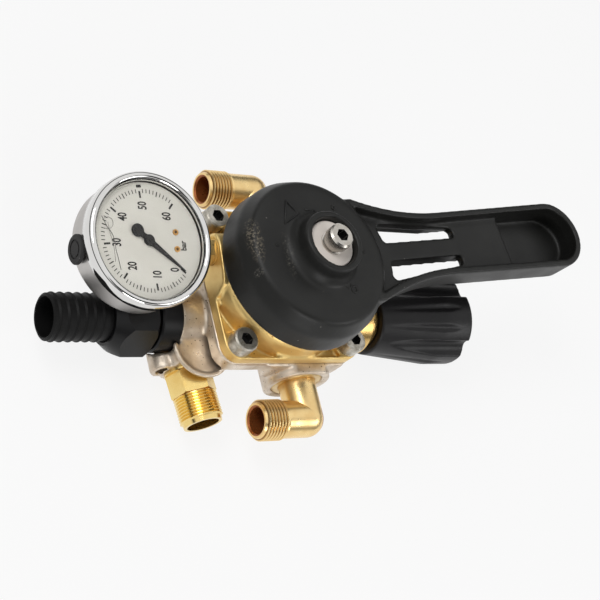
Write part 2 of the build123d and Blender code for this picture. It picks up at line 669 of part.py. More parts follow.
with BuildPart() as spring_seat:
    with BuildSketch(MAIN_PLANE):
        with BuildLine():
            Polyline(
                (24, 0), (24, 10.4), (24.5, 10.9), (31.5, 10.9), (32, 10.4),
                (32, SPINDLE_RADIUS), (28, SPINDLE_RADIUS), (28, 0), close=True,
            )
        make_face()
    revolve(axis=MAIN_AXIS)
spring_seat.part.label = "spring_seat"

REGULATOR_WIRE = 1.3
with BuildPart() as pressure_spring:
    with BuildLine():
        coil = Helix(
            pitch=4.4,
            height=10.2,
            radius=7.8,
            center=(8 + REGULATOR_WIRE + 0.05, MAIN_Y, MAIN_Z),
            direction=(1, 0, 0),
        )
    with BuildSketch(Plane(coil @ 0, z_dir=coil % 0)):
        Circle(REGULATOR_WIRE)
    sweep(path=coil)
pressure_spring.part.label = "pressure_spring"

with BuildPart() as relief_piston:
    with BuildSketch(MAIN_PLANE):
        with BuildLine():
            Polyline(
                (-7.2, 0), (-7.2, 3.8), (-4.0, 6.4), (-3.95, 10.9), (2, 10.9), (2, 8.6),
                (4.4, 8.6), (4.4, 10.9), (8, 10.9), (8, 0), close=True,
            )
        make_face()
    revolve(axis=MAIN_AXIS)
relief_piston.part.label = "relief_piston"

piston_seal = o_ring("piston_seal", MAIN_PLANE, MAIN_AXIS, 3.2, 8.65, 2.25)

with BuildPart() as relief_seat:
    with BuildSketch(MAIN_PLANE):
        with BuildLine():
            Polyline((-8, 6.5), (-8, 11), (-4, 11), (-4, 6.5), close=True)
        make_face()
    revolve(axis=MAIN_AXIS)
relief_seat.part.label = "relief_seat"

# ================================================================ hose tail
with BuildPart() as hose_adaptor:
    with BuildSketch(MAIN_PLANE):
        with BuildLine():
            Polyline(
                (ADAPTOR_FACE, 9.0), (ADAPTOR_FACE, 13.2), (ADAPTOR_FACE + 1, 14.2),
                (ADAPTOR_FLANGE, 14.2), (ADAPTOR_FLANGE, 16.4), (ADAPTOR_FLANGE + 0.8, 17.2),
                (BARREL_LEFT - 0.8, 17.2), (BARREL_LEFT, 16.4), (BARREL_LEFT, 11.95),
                (-46, 11.95), (-46, 9.0), close=True,
            )
        make_face()
    revolve(axis=MAIN_AXIS)
hose_adaptor.part.label = "hose_adaptor"

# Hexagon union nut whose left end runs out in a long cone.
with BuildPart() as union_nut:
    with BuildSketch(across_main(NUT_LEFT)):
        RegularPolygon(radius=NUT_RADIUS, side_count=6, rotation=12)
    extrude(amount=NUT_RIGHT - NUT_LEFT)
    with BuildSketch(MAIN_PLANE):
        with BuildLine():
            Polyline(
                (NUT_LEFT, 0), (NUT_LEFT, 13.6), (NUT_LEFT + 7.5, NUT_RADIUS),
                (NUT_RIGHT - 2, NUT_RADIUS), (NUT_RIGHT, NUT_RADIUS - 2.0), (NUT_RIGHT, 0),
                close=True,
            )
        make_face()
    revolve(axis=MAIN_AXIS, mode=Mode.INTERSECT)
    with BuildSketch(MAIN_PLANE):
        with BuildLine():
            Polyline(
                (NUT_LEFT, 0), (NUT_LEFT, 12.2), (NUT_LEFT + 3, 12.2), (NUT_LEFT + 3, 14.3),
                (NUT_RIGHT, 14.3), (NUT_RIGHT, 0), close=True,
            )
        make_face()
    revolve(axis=MAIN_AXIS, mode=Mode.SUBTRACT)
union_nut.part.label = "union_nut"

# Barbed tail with a collar that the nut holds against the adaptor.
BARB_PITCH = 4.6
BARB_COUNT = 6
with BuildPart() as hose_tail:
    barb_points = [(TAIL_MOUTH, TAIL_BORE + 0.5), (TAIL_MOUTH + 0.8, TAIL_RADIUS)]
    for barb in range(BARB_COUNT):
        crest = TAIL_MOUTH + 3.4 + barb * BARB_PITCH
        barb_points.append((crest - 1.0, TAIL_RADIUS))
        barb_points.append((crest, TAIL_RADIUS + TAIL_RIDGE))
        barb_points.append((crest + 0.5, TAIL_RADIUS))
    with BuildSketch(MAIN_PLANE):
        with BuildLine():
            Polyline(
                *barb_points, (NUT_LEFT + 3.05, TAIL_RADIUS), (NUT_LEFT + 3.05, 14.1),
                (ADAPTOR_FACE - 2, 14.1), (ADAPTOR_FACE - 2, TAIL_BORE - 0.8),
                (-93, TAIL_BORE - 0.8), (-95, TAIL_BORE), (TAIL_MOUTH + 0.4, TAIL_BORE), close=True,
            )
        make_face()
    revolve(axis=MAIN_AXIS)
hose_tail.part.label = "hose_tail"

with BuildPart() as tail_seal:
    with BuildSketch(MAIN_PLANE):
        with BuildLine():
            Polyline(
                (ADAPTOR_FACE - 2, 9.6), (ADAPTOR_FACE - 2, 13.8), (ADAPTOR_FACE, 13.8),
                (ADAPTOR_FACE, 9.6), close=True,
            )
        make_face()
    revolve(axis=MAIN_AXIS)
tail_seal.part.label = "tail_seal"

# ================================================================ inlet nipple
SEAL_THICKNESS = 1.5
NIPPLE_HEX_END = 13.7
with BuildPart() as hex_nipple:
    with BuildSketch(across_nipple(SEAL_THICKNESS)):
        RegularPolygon(radius=NIPPLE_HEX / sqrt(3), side_count=6, rotation=NIPPLE_HEX_TURN)
    extrude(amount=NIPPLE_HEX_END - SEAL_THICKNESS)
    with BuildSketch(NIPPLE_PLANE):
        with BuildLine():
            Polyline(
                (SEAL_THICKNESS, 0), (SEAL_THICKNESS, 11.0), (SEAL_THICKNESS + 0.7, 12.2),
                (NIPPLE_HEX_END - 0.7, 12.2), (NIPPLE_HEX_END, 11.0), (NIPPLE_HEX_END, 0),
                close=True,
            )
        make_face()
    revolve(axis=NIPPLE_AXIS, mode=Mode.INTERSECT)
    with BuildSketch(NIPPLE_PLANE):
        with BuildLine():
            Polyline(
                (-9, 0), (-9, 9.0), (-8.2, 9.85), (SEAL_THICKNESS, 9.85), (SEAL_THICKNESS, 0),
                close=True,
            )
        make_face()
    revolve(axis=NIPPLE_AXIS)
    with BuildSketch(NIPPLE_PLANE):
        with BuildLine():
            Polyline(
                (NIPPLE_HEX_END, 0),
                *thread_outline(NIPPLE_HEX_END, NIPPLE_LENGTH - 0.8, NIPPLE_THREAD_RADIUS,
                                NIPPLE_THREAD_DEPTH, NIPPLE_THREAD_PITCH),
                (NIPPLE_LENGTH, NIPPLE_THREAD_RADIUS - 1.2), (NIPPLE_LENGTH, 0), close=True,
            )
        make_face()
    revolve(axis=NIPPLE_AXIS)
    with BuildSketch(across_nipple(NIPPLE_LENGTH)):
        Circle(NIPPLE_BORE)
    extrude(amount=-60, mode=Mode.SUBTRACT)
hex_nipple.part.label = "hex_nipple"

with BuildPart() as nipple_seal:
    with BuildSketch(across_nipple(0)):
        Circle(11.8)
        Circle(9.9, mode=Mode.SUBTRACT)
    extrude(amount=SEAL_THICKNESS)
nipple_seal.part.label = "nipple_seal"


# ================================================================ outlet elbows
def outlet_elbow(label, side):
    """Brass elbow: spigot in the body, leg outward along Y, threaded arm along -X."""
    leg_plane = port_plane(side)
    corner = (PORT_X, side * ELBOW_AXIS_Y, PORT_Z)
    arm_plane = Plane(origin=corner, x_dir=(-1, 0, 0), z_dir=(0, 1, 0))
    arm_axis = Axis(corner, (-1, 0, 0))
    arm_length = PORT_X - ELBOW_MOUTH_X
    thread_start = arm_length - ELBOW_THREAD_LENGTH
    with BuildPart() as elbow:
        with BuildSketch(leg_plane):
            with BuildLine():
                Polyline(
                    (26.2, 0), (26.2, ELBOW_SPIGOT_RADIUS - 0.6), (26.8, ELBOW_SPIGOT_RADIUS),
                    (29.5, ELBOW_SPIGOT_RADIUS), (29.5, 7.4), (30.6, 7.4),
                    (30.6, ELBOW_SPIGOT_RADIUS), (35.8, ELBOW_SPIGOT_RADIUS),
                    (35.8, ELBOW_COLLAR_RADIUS), (37.8, ELBOW_COLLAR_RADIUS),
                    (37.8, ELBOW_RADIUS), (ELBOW_AXIS_Y, ELBOW_RADIUS), (ELBOW_AXIS_Y, 0),
                    close=True,
                )
            make_face()
        revolve(axis=PORT_AXIS)
        with Locations(corner):
            Sphere(ELBOW_RADIUS)
        with BuildSketch(arm_plane):
            with BuildLine():
                Polyline(
                    (0, 0), (0, ELBOW_RADIUS), (thread_start - 0.8, ELBOW_RADIUS),
                    *thread_outline(thread_start, arm_length - 1.3, PIPE_THREAD_RADIUS,
                                    PIPE_THREAD_DEPTH, PIPE_THREAD_PITCH),
                    (arm_length, PIPE_THREAD_RADIUS - 1.7), (arm_length, 0), close=True,
                )
            make_face()
        revolve(axis=arm_axis)
        with BuildSketch(Plane(origin=corner, x_dir=(1, 0, 0), z_dir=(0, -side, 0))):
            Circle(ELBOW_BORE)
        extrude(amount=ELBOW_AXIS_Y, mode=Mode.SUBTRACT)
        with Locations(corner):
            Sphere(ELBOW_BORE, mode=Mode.SUBTRACT)
        with BuildSketch(arm_plane):
            with BuildLine():
                Polyline(
                    (0, 0), (0, ELBOW_BORE), (arm_length - 0.8, ELBOW_BORE),
                    (arm_length, ELBOW_BORE + 0.8), (arm_length, 0), close=True,
                )
            make_face()
        revolve(axis=arm_axis, mode=Mode.SUBTRACT)
    elbow.part.label = label
    return elbow


def ring_nut(label, side):
    """Brass ring nut screwed into the outlet boss, which holds the elbow's collar."""
    with BuildPart() as nut:
        with BuildSketch(port_plane(side)):
            with BuildLine():
                Polyline(
                    (37.85, ELBOW_RADIUS + RUNNING_GAP), (37.85, 13.25), (45.4, 13.25),
                    (46.0, 12.65), (46.0, ELBOW_RADIUS + 0.6), (45.5, ELBOW_RADIUS + RUNNING_GAP),
                    close=True,
                )
            make_face()
        revolve(axis=PORT_AXIS)
    nut.part.label = label
    return nut


lower_elbow = outlet_elbow("lower_elbow", -1)
upper_elbow = outlet_elbow("upper_elbow", 1)
lower_ring_nut = ring_nut("lower_ring_nut", -1)
upper_ring_nut = ring_nut("upper_ring_nut", 1)
lower_elbow_seal = o_ring("lower_elbow_seal", port_plane(-1), PORT_AXIS, 30.05, 7.42, 1.0)
upper_elbow_seal = o_ring("upper_elbow_seal", port_plane(1), PORT_AXIS, 30.05, 7.42, 1.0)

# ================================================================ pressure gauge
PLUG_CENTRE = (-2.9, 2.5)  # on the case's wall: across it, and up along the gauge's axis
with BuildPart() as gauge_case:
    with BuildSketch(GAUGE_PLANE):
        with BuildLine():
            shell = FilletPolyline(
                (0, CASE_BACK), (CASE_RADIUS, CASE_BACK), (CASE_RADIUS, CASE_TOP),
                (CASE_RADIUS - CASE_WALL, CASE_TOP), (CASE_RADIUS - CASE_WALL, CASE_BACK + CASE_WALL),
                (0, CASE_BACK + CASE_WALL), radius=[4.2, 0, 0, 3.0],
            )
            Line(shell @ 1, shell @ 0)
        make_face()
    revolve(axis=GAUGE_AXIS)
    with BuildSketch(across_stem(GAUGE_X + 25)):
        Circle(4.9)
    extrude(amount=10, mode=Mode.SUBTRACT)
    with BuildSketch(across_stem(GAUGE_X - 25)):
        with Locations(PLUG_CENTRE):
            Circle(5.5)
    extrude(amount=-10, mode=Mode.SUBTRACT)
gauge_case.part.label = "gauge_case"

WINDOW_BOTTOM = CASE_TOP + 0.6
WINDOW_TOP = WINDOW_BOTTOM + 1.4
with BuildPart() as bezel:
    with BuildSketch(GAUGE_PLANE):
        with BuildLine():
            ring_skin = FilletPolyline(
                (CASE_RADIUS + 0.05, GAUGE_FRONT - 7.6), (BEZEL_RADIUS - 0.6, GAUGE_FRONT - 7.6),
                (BEZEL_RADIUS, GAUGE_FRONT - 6.4), (BEZEL_RADIUS, GAUGE_FRONT),
                (BEZEL_RADIUS - 3.6, GAUGE_FRONT), (29.0, WINDOW_TOP + 0.5), (29.0, WINDOW_TOP),
                (CASE_RADIUS + 0.05, WINDOW_TOP), radius=[0.5, 0.6, 2.2, 1.2, 0.5, 0],
            )
            Line(ring_skin @ 1, ring_skin @ 0)
        make_face()
    revolve(axis=GAUGE_AXIS)
bezel.part.label = "bezel"

with BuildPart() as window:
    with BuildSketch(gauge_level(WINDOW_BOTTOM)):
        Circle(CASE_RADIUS - 0.1)
    extrude(amount=WINDOW_TOP - WINDOW_BOTTOM)
window.part.label = "window"

with BuildPart() as window_seal:
    with BuildSketch(gauge_level(CASE_TOP)):
        Circle(CASE_RADIUS - 0.1)
        Circle(29.2, mode=Mode.SUBTRACT)
    extrude(amount=WINDOW_BOTTOM - CASE_TOP)
window_seal.part.label = "window_seal"

# Dial with its two rivets on the side of the stem.
RIVET_OFFSETS = ((15.2, 4.7), (15.2, -3.6))
with BuildPart() as dial:
    with BuildSketch(gauge_level(DIAL_HEIGHT)):
        Circle(DIAL_RADIUS)
        Circle(1.4, mode=Mode.SUBTRACT)
        with Locations(*RIVET_OFFSETS):
            Circle(0.9, mode=Mode.SUBTRACT)
    extrude(amount=0.6)
dial.part.label = "dial"

with BuildPart() as dial_rivets:
    with BuildSketch(gauge_level(DIAL_HEIGHT - 1.2)):
        with Locations(*RIVET_OFFSETS):
            Circle(0.88)
    extrude(amount=1.8)
    with BuildSketch(gauge_level(DIAL_HEIGHT + 0.6)):
        with Locations(*RIVET_OFFSETS):
            Circle(1.5)
    extrude(amount=0.5)
    with BuildSketch(gauge_level(DIAL_HEIGHT + 0.6)):
        with Locations(*RIVET_OFFSETS):
            Circle(0.6)
    extrude(amount=0.5, mode=Mode.SUBTRACT)
dial_rivets.part.label = "dial_rivets"

# Pointer resting at zero, 135 degrees back from the middle of the scale.
NEEDLE_TURN = radians(-38.5)
with BuildPart() as pointer:
    needle_plane = Plane(
        origin=gauge_level(DIAL_HEIGHT + 1.2).origin,
        x_dir=(cos(NEEDLE_TURN), sin(NEEDLE_TURN) * cos(radians(GAUGE_TURN)),
               sin(NEEDLE_TURN) * sin(radians(GAUGE_TURN))),
        z_dir=GAUGE_NORMAL,
    )
    with BuildSketch(needle_plane):
        with BuildLine():
            Polyline((0, 1.5), (23.2, 0.25), (23.2, -0.25), (0, -1.5), (-6, -1.3), (-6, 1.3), close=True)
        make_face()
        with Locations((-7.4, 0)):
            Circle(3.2)
        Circle(2.8)
        Circle(0.85, mode=Mode.SUBTRACT)
    extrude(amount=0.6)
    with BuildSketch(needle_plane.offset(0.6)):
        Circle(2.3)
        Circle(0.85, mode=Mode.SUBTRACT)
    extrude(amount=0.7)
pointer.part.label = "pointer"

# Movement: two plates with pillars, pinion shaft, sector, coiled tube and its link.
PIVOT = (9.0, 0)
PLATE_LOW = -3.6
PLATE_HIGH = 4.6
PLATE = 1.0
with BuildPart() as movement_frame:
    for level in (PLATE_LOW, PLATE_HIGH):
        with BuildSketch(gauge_level(level)):
            with Locations((4, 0)):
                RectangleRounded(25, 14, 2)
            with Locations((0, 0), PIVOT):
                Circle(0.85, mode=Mode.SUBTRACT)
        extrude(amount=PLATE)
    with BuildSketch(gauge_level(PLATE_LOW + PLATE)):
        with Locations((-6, 0), (14.5, 0)):
            Circle(1.2)
    extrude(amount=PLATE_HIGH - PLATE_LOW - PLATE)
movement_frame.part.label = "movement_frame"

GEAR_HEIGHT = 0.2
PINION_TEETH = 12
with BuildPart() as pinion_shaft:
    with BuildSketch(gauge_level(PLATE_LOW)):
        Circle(0.8)
    extrude(amount=DIAL_HEIGHT + 2.7 - PLATE_LOW)
    with BuildSketch(gauge_level(GEAR_HEIGHT)):
        Circle(1.6)
        with PolarLocations(1.65, PINION_TEETH):
            Rectangle(0.4, 0.3)
    extrude(amount=1.4)
pinion_shaft.part.label = "pinion_shaft"

with BuildPart() as sector_gear:
    with BuildSketch(gauge_level(GEAR_HEIGHT + 0.2)):
        with BuildLine():
            rim = CenterArc(PIVOT, 6.6, 130, 100)
            Line(rim @ 1, (PIVOT[0] + 1.6, -1.6))
            Line((PIVOT[0] + 1.6, -1.6), (PIVOT[0] + 1.6, 1.6))
            Line((PIVOT[0] + 1.6, 1.6), rim @ 0)
        make_face()
        with Locations(PIVOT):
            with PolarLocations(6.7, 13, start_angle=135, angular_range=90):
                Rectangle(0.5, 0.35)
    extrude(amount=1.0)
    with BuildSketch(gauge_level(PLATE_LOW)):
        with Locations(PIVOT):
            Circle(0.8)
    extrude(amount=PLATE_HIGH + PLATE - PLATE_LOW)
sector_gear.part.label = "sector_gear"

TUBE_RADIUS = 22.0
TUBE_START = 20.5
TUBE_SWEEP = 235.0
with BuildPart() as bourdon_tube:
    tube_out = Vector(1, 0, 0).rotate(Axis((0, 0, 0), GAUGE_NORMAL), TUBE_START)
    tube_plane = Plane(
        origin=GAUGE_CENTRE, x_dir=tube_out, z_dir=tube_out.cross(Vector(*GAUGE_NORMAL))
    )
    with BuildSketch(tube_plane):
        with Locations((TUBE_RADIUS, 0)):
            SlotOverall(8.4, 3.2, rotation=90)
        with Locations((TUBE_RADIUS, 0)):
            SlotOverall(7.2, 2.0, rotation=90, mode=Mode.SUBTRACT)
    revolve(axis=GAUGE_AXIS, revolution_arc=TUBE_SWEEP)
bourdon_tube.part.label = "bourdon_tube"

with BuildPart() as gauge_link:
    with BuildSketch(gauge_level(GEAR_HEIGHT + 1.6)):
        with BuildLine():
            Polyline((-4, -20.0), (-2, -20.0), (11, -2.2), (9, -2.2), close=True)
        make_face()
    extrude(amount=0.8)
gauge_link.part.label = "gauge_link"

# Brass socket: block inside the case, hexagon outside it, thread in the cover.
SOCKET_HEX_END = GAUGE_SEAT - 1
with BuildPart() as gauge_socket:
    with BuildSketch(across_stem(GAUGE_X + 17.5)):
        Rectangle(14, 9)
    extrude(amount=10)
    with BuildSketch(across_stem(GAUGE_X + 27)):
        Circle(4.8)
    extrude(amount=6)
    with BuildSketch(across_stem(GAUGE_X + CASE_RADIUS + 0.6)):
        RegularPolygon(radius=13 / sqrt(3), side_count=6)
    extrude(amount=SOCKET_HEX_END - GAUGE_X - CASE_RADIUS - 0.6)
    with BuildSketch(across_stem(SOCKET_HEX_END)):
        Circle(GAUGE_THREAD - 0.03)
    extrude(amount=9)
    with BuildSketch(across_stem(SOCKET_HEX_END + 9)):
        Circle(2)
    extrude(amount=-20, mode=Mode.SUBTRACT)
gauge_socket.part.label = "gauge_socket"

with BuildPart() as gauge_seal:
    with BuildSketch(across_stem(SOCKET_HEX_END)):
        Circle(7.4)
        Circle(GAUGE_THREAD, mode=Mode.SUBTRACT)
    extrude(amount=1)
gauge_seal.part.label = "gauge_seal"

PLUG_FACE = GAUGE_X - CASE_RADIUS - 0.3
with BuildPart() as fill_plug:
    with BuildSketch(across_stem(PLUG_FACE)):
        with Locations(PLUG_CENTRE):
            Circle(7.2)
    extrude(amount=-1.6)
    chamfer(fill_plug.edges().group_by(Axis.X)[0], 0.6)
    with BuildSketch(across_stem(PLUG_FACE - 1.6)):
        with Locations(PLUG_CENTRE):
            Circle(4.6)
            Circle(3.6, mode=Mode.SUBTRACT)
    extrude(amount=0.5, mode=Mode.SUBTRACT)
    with BuildSketch(across_stem(PLUG_FACE)):
        with Locations(PLUG_CENTRE):
            Circle(5.4)
    extrude(amount=3.4)
fill_plug.part.label = "fill_plug"

# ================================================================ one STEP for each piece
pieces = (
    valve_body, top_cover, cover_seal, cover_screws, stem, valve_pad, stem_seal, bypass_spring,
    lever, lever_bush, lever_washer, lever_screw, gland, gland_seal, spindle, knob, knob_screw,
    spring_seat, pressure_spring, relief_piston, piston_seal, relief_seat, hose_adaptor,
    union_nut, hose_tail, tail_seal, hex_nipple, nipple_seal, lower_elbow, upper_elbow,
    lower_ring_nut, upper_ring_nut, lower_elbow_seal, upper_elbow_seal, gauge_case, bezel,
    window, window_seal, dial, dial_rivets, pointer, movement_frame, pinion_shaft, sector_gear,
    bourdon_tube, gauge_link, gauge_socket, gauge_seal, fill_plug,
)
for piece in pieces:
    export_step(piece.part, f"parts/{piece.part.label}.step")
print(len(pieces), "pieces written")
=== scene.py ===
# %% [markdown]
# A sprayer's pressure regulating unit: a cast body under a brass cover, a
# moulded lever and knob, a pressure gauge and four pipe connections. The packed
# CAD model gives the main sizes. This lesson gives each piece its finish, builds
# the soft cast and moulded shapes again, and prints the gauge's dial.

# %% Load the CAD model as the frame
import math

import bmesh
import bpy
import numpy as np
from mathutils import Matrix, Vector


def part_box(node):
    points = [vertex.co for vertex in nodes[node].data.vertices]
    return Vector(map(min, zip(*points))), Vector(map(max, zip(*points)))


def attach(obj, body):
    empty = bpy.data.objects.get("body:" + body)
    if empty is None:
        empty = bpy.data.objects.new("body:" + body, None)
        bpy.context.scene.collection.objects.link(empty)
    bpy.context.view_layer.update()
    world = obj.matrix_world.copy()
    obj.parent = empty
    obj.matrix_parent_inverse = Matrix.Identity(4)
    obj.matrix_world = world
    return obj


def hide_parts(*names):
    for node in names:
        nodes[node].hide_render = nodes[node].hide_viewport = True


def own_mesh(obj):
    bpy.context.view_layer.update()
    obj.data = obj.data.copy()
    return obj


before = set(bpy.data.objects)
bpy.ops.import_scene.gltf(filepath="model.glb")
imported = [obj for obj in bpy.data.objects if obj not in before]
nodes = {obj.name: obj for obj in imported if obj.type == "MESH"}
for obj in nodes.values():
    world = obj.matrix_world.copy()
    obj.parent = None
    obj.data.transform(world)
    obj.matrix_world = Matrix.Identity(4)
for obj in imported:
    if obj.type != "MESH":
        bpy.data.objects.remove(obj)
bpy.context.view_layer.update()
scene = bpy.context.scene
scene.view_settings.view_transform = "Standard"

# %% [markdown]
# The unit is seen from above its lower left, a little from the front. The
# camera's matrix is written as its three axes and its place, because a rolled
# camera is awkward to describe with three angles.

# %% Camera
CAMERA_LENS = 89.1
SENSOR_WIDTH = 36
CAMERA_RIGHT = (0.80520, -0.23030, 0.54645)
CAMERA_UP = (-0.01909, 0.91096, 0.41205)
CAMERA_BACK = (-0.59269, -0.34222, 0.72911)
CAMERA_PLACE = (-0.43935, -0.26828, 0.60358)
lens = bpy.data.cameras.new("camera")
lens.lens = CAMERA_LENS
lens.sensor_width = SENSOR_WIDTH
camera = bpy.data.objects.new("camera", lens)
scene.collection.objects.link(camera)
camera_rows = zip(CAMERA_RIGHT, CAMERA_UP, CAMERA_BACK, CAMERA_PLACE)
camera.matrix_world = Matrix([*camera_rows, (0, 0, 0, 1)])
scene.camera = camera
print("camera lens", lens.lens)

# %% [markdown]
# The gauge is tipped about the X axis. Three unit vectors give its own
# directions: across its face, up its face, and out of it along its axis.

# %% Gauge directions
GAUGE_TILT = math.radians(11.4)
GAUGE_ACROSS = np.array([1.0, 0.0, 0.0])
GAUGE_UP = np.array([0.0, math.cos(GAUGE_TILT), math.sin(GAUGE_TILT)])
GAUGE_OUT = np.array([0.0, -math.sin(GAUGE_TILT), math.cos(GAUGE_TILT)])
print("gauge axis:", GAUGE_OUT.round(3))

# %% [markdown]
# Colours are easiest to choose as screen values from 0 to 255, but shaders
# work in linear light. This helper turns one into the other.

# %% Colour helper
def colour(red, green, blue):
    """Each channel: (c / 255), then ((c + 0.055) / 1.055) to the power 2.4."""
    channels = np.array([red, green, blue]) / 255
    channels = np.where(channels > 0.04045, ((channels + 0.055) / 1.055) ** 2.4, channels / 12.92)
    return (*channels.tolist(), 1.0)


print("mid grey:", colour(128, 128, 128))

# %% [markdown]
# New pieces are numpy arrays of points and faces put into a mesh in one go.

# %% Piece helpers
def new_piece(name, points, faces, smooth=True):
    """Makes an object at the origin whose mesh has these points and faces."""
    mesh = bpy.data.meshes.new(name)
    mesh.from_pydata(np.asarray(points, float).tolist(), [], [list(face) for face in faces])
    mesh.validate()
    shell = bmesh.new()
    shell.from_mesh(mesh)
    bmesh.ops.recalc_face_normals(shell, faces=shell.faces)
    shell.to_mesh(mesh)
    shell.free()
    mesh.polygons.foreach_set("use_smooth", [smooth] * len(mesh.polygons))
    piece = bpy.data.objects.new(name, mesh)
    scene.collection.objects.link(piece)
    return piece


def finish_piece(piece, body, material, replaced=()):
    """Gives a piece its material, its body and the nodes it stands for."""
    piece.data.materials.clear()
    piece.data.materials.append(material)
    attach(piece, body)
    if replaced:
        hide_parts(*replaced)
    print(piece.name, "faces:", len(piece.data.polygons))


print("piece helpers ready")

# %% [markdown]
# A turned shape and a bead are both rings of points in a row, so one helper
# numbers their faces. Another puts several shapes into one.

# %% Face helpers
def ring_faces(rings, around, closed=True):
    """Quads between neighbouring rings; closed joins the last ring to the first."""
    row, column = np.meshgrid(np.arange(rings if closed else rings - 1), np.arange(around), indexing="ij")
    row, column = row.ravel(), column.ravel()
    after, beside = (row + 1) % rings, (column + 1) % around
    corners = [row * around + column, after * around + column, after * around + beside, row * around + beside]
    return np.stack(corners, 1).tolist()


def merged(shapes):
    """Points and faces of several (points, faces) pairs, each renumbered after the last."""
    starts = np.cumsum([0] + [len(points) for points, _ in shapes[:-1]])
    faces = [
        [corner + int(start) for corner in face]
        for (_, shape_faces), start in zip(shapes, starts) for face in shape_faces
    ]
    return np.concatenate([points for points, _ in shapes]), faces


print("face helpers ready")

# %% [markdown]
# Effects that several finishes share are node groups. Each puts out a colour,
# a mask or a height, and the shader itself stays in the material.

# %% Node group helper
SOCKET_KINDS = {"vector": "NodeSocketVector", "number": "NodeSocketFloat", "colour": "NodeSocketColor"}


def new_group(name, inputs, outputs):
    """A shader node group with these sockets, given as (name, kind, value)."""
    group = bpy.data.node_groups.new(name, "ShaderNodeTree")
    for label, kind, value in inputs:
        socket = group.interface.new_socket(label, in_out="INPUT", socket_type=SOCKET_KINDS[kind])
        if value is not None:
            socket.default_value = value
    for label, kind in outputs:
        group.interface.new_socket(label, in_out="OUTPUT", socket_type=SOCKET_KINDS[kind])
    return group, group.nodes.new("NodeGroupInput"), group.nodes.new("NodeGroupOutput")


def feed(tree, target, value):
    """Links a socket to the target socket, or sets the target to a plain value."""
    if isinstance(value, bpy.types.NodeSocket):
        tree.links.new(value, target)
    else:
        target.default_value = value


print("group helper ready")

# %% [markdown]
# Each of these places one node. Their inputs are sockets or plain values.

# %% Node helpers
def math_node(tree, operation, first, second=None, third=None, clamp=False):
    """A Math node; gives its output socket."""
    node = tree.nodes.new("ShaderNodeMath")
    node.operation = operation
    node.use_clamp = clamp
    for index, value in enumerate((first, second, third)):
        if value is not None:
            feed(tree, node.inputs[index], value)
    return node.outputs[0]


def vector_math(tree, operation, first, second=None):
    """A Vector Math node; gives the node."""
    node = tree.nodes.new("ShaderNodeVectorMath")
    node.operation = operation
    feed(tree, node.inputs[0], first)
    if second is not None:
        feed(tree, node.inputs[1], second)
    return node


def split(tree, vector):
    """The X, Y and Z of a vector, as three sockets."""
    node = tree.nodes.new("ShaderNodeSeparateXYZ")
    feed(tree, node.inputs[0], vector)
    return node.outputs


def mix_colour(tree, factor, first, second):
    """A Mix node for colours, whose inputs 0, 6 and 7 are its factor and its colours."""
    node = tree.nodes.new("ShaderNodeMix")
    node.data_type = "RGBA"
    for index, value in ((0, factor), (6, first), (7, second)):
        feed(tree, node.inputs[index], value)
    return node.outputs[2]


def mix_shaders(tree, factor, first, second):
    """A Mix Shader node; gives its output socket."""
    node = tree.nodes.new("ShaderNodeMixShader")
    for index, value in enumerate((factor, first, second)):
        feed(tree, node.inputs[index], value)
    return node.outputs[0]


def noise(tree, vector, scale, detail=3.0, roughness=0.5):
    """A Noise texture's value, from 0 to 1; scale is in features per metre."""
    node = tree.nodes.new("ShaderNodeTexNoise")
    node.inputs["Detail"].default_value = detail
    node.inputs["Roughness"].default_value = roughness
    feed(tree, node.inputs["Vector"], vector)
    feed(tree, node.inputs["Scale"], scale)
    return node.outputs[0]


print("node helpers ready")

# %% [markdown]
# Drift: no surface has exactly one colour, so this mixes a second colour in
# soft patches. The noise stays near one half, so it is stretched to 0 and 1.

# %% Group: tone drift
drift, drift_in, drift_out = new_group(
    "tone drift",
    [("Vector", "vector", None), ("Scale", "number", 60.0), ("Amount", "number", 0.5),
     ("Main", "colour", None), ("Second", "colour", None)],
    [("Color", "colour"), ("Mask", "number")],
)
patches = noise(drift, drift_in.outputs["Vector"], drift_in.outputs["Scale"], 4, 0.6)
spread = math_node(drift, "MULTIPLY_ADD", patches, 3.0, -1.0, clamp=True)
strength = math_node(drift, "MULTIPLY", spread, drift_in.outputs["Amount"], clamp=True)
drifted = mix_colour(drift, strength, drift_in.outputs["Main"], drift_in.outputs["Second"])
drift.links.new(drifted, drift_out.inputs["Color"])
drift.links.new(strength, drift_out.inputs["Mask"])
print("group:", drift.name)

# %% [markdown]
# Specks: small spots such as pores, dust and chips. A Voronoi cell is a spot
# where its random number is low enough. The spots differ in size, and a finer
# noise added to the distance from the cell's centre makes their rims ragged.

# %% Group: specks
SIZE_RANGE, SIZE_LEAST = 0.8, 0.25
RAGGED_SCALE, RAGGED_AMOUNT, RAGGED_OFFSET = 1.7, 0.5, 0.22
RIM_STEEPNESS = 8.0
specks, specks_in, specks_out = new_group(
    "specks",
    [("Vector", "vector", None), ("Scale", "number", 600.0),
     ("Size", "number", 0.3), ("Share", "number", 0.3)],
    [("Mask", "number")],
)
cells = specks.nodes.new("ShaderNodeTexVoronoi")
specks.links.new(specks_in.outputs["Vector"], cells.inputs["Vector"])
specks.links.new(specks_in.outputs["Scale"], cells.inputs["Scale"])
cell_number = specks.nodes.new("ShaderNodeSeparateColor")
specks.links.new(cells.outputs["Color"], cell_number.inputs[0])
chosen = math_node(specks, "LESS_THAN", cell_number.outputs[0], specks_in.outputs["Share"])
own_size = math_node(specks, "MULTIPLY_ADD", cell_number.outputs[1], SIZE_RANGE, SIZE_LEAST)
speck_size = math_node(specks, "MULTIPLY", specks_in.outputs["Size"], own_size)
ragged_scale = math_node(specks, "MULTIPLY", specks_in.outputs["Scale"], RAGGED_SCALE)
wavy = noise(specks, specks_in.outputs["Vector"], ragged_scale, 2)
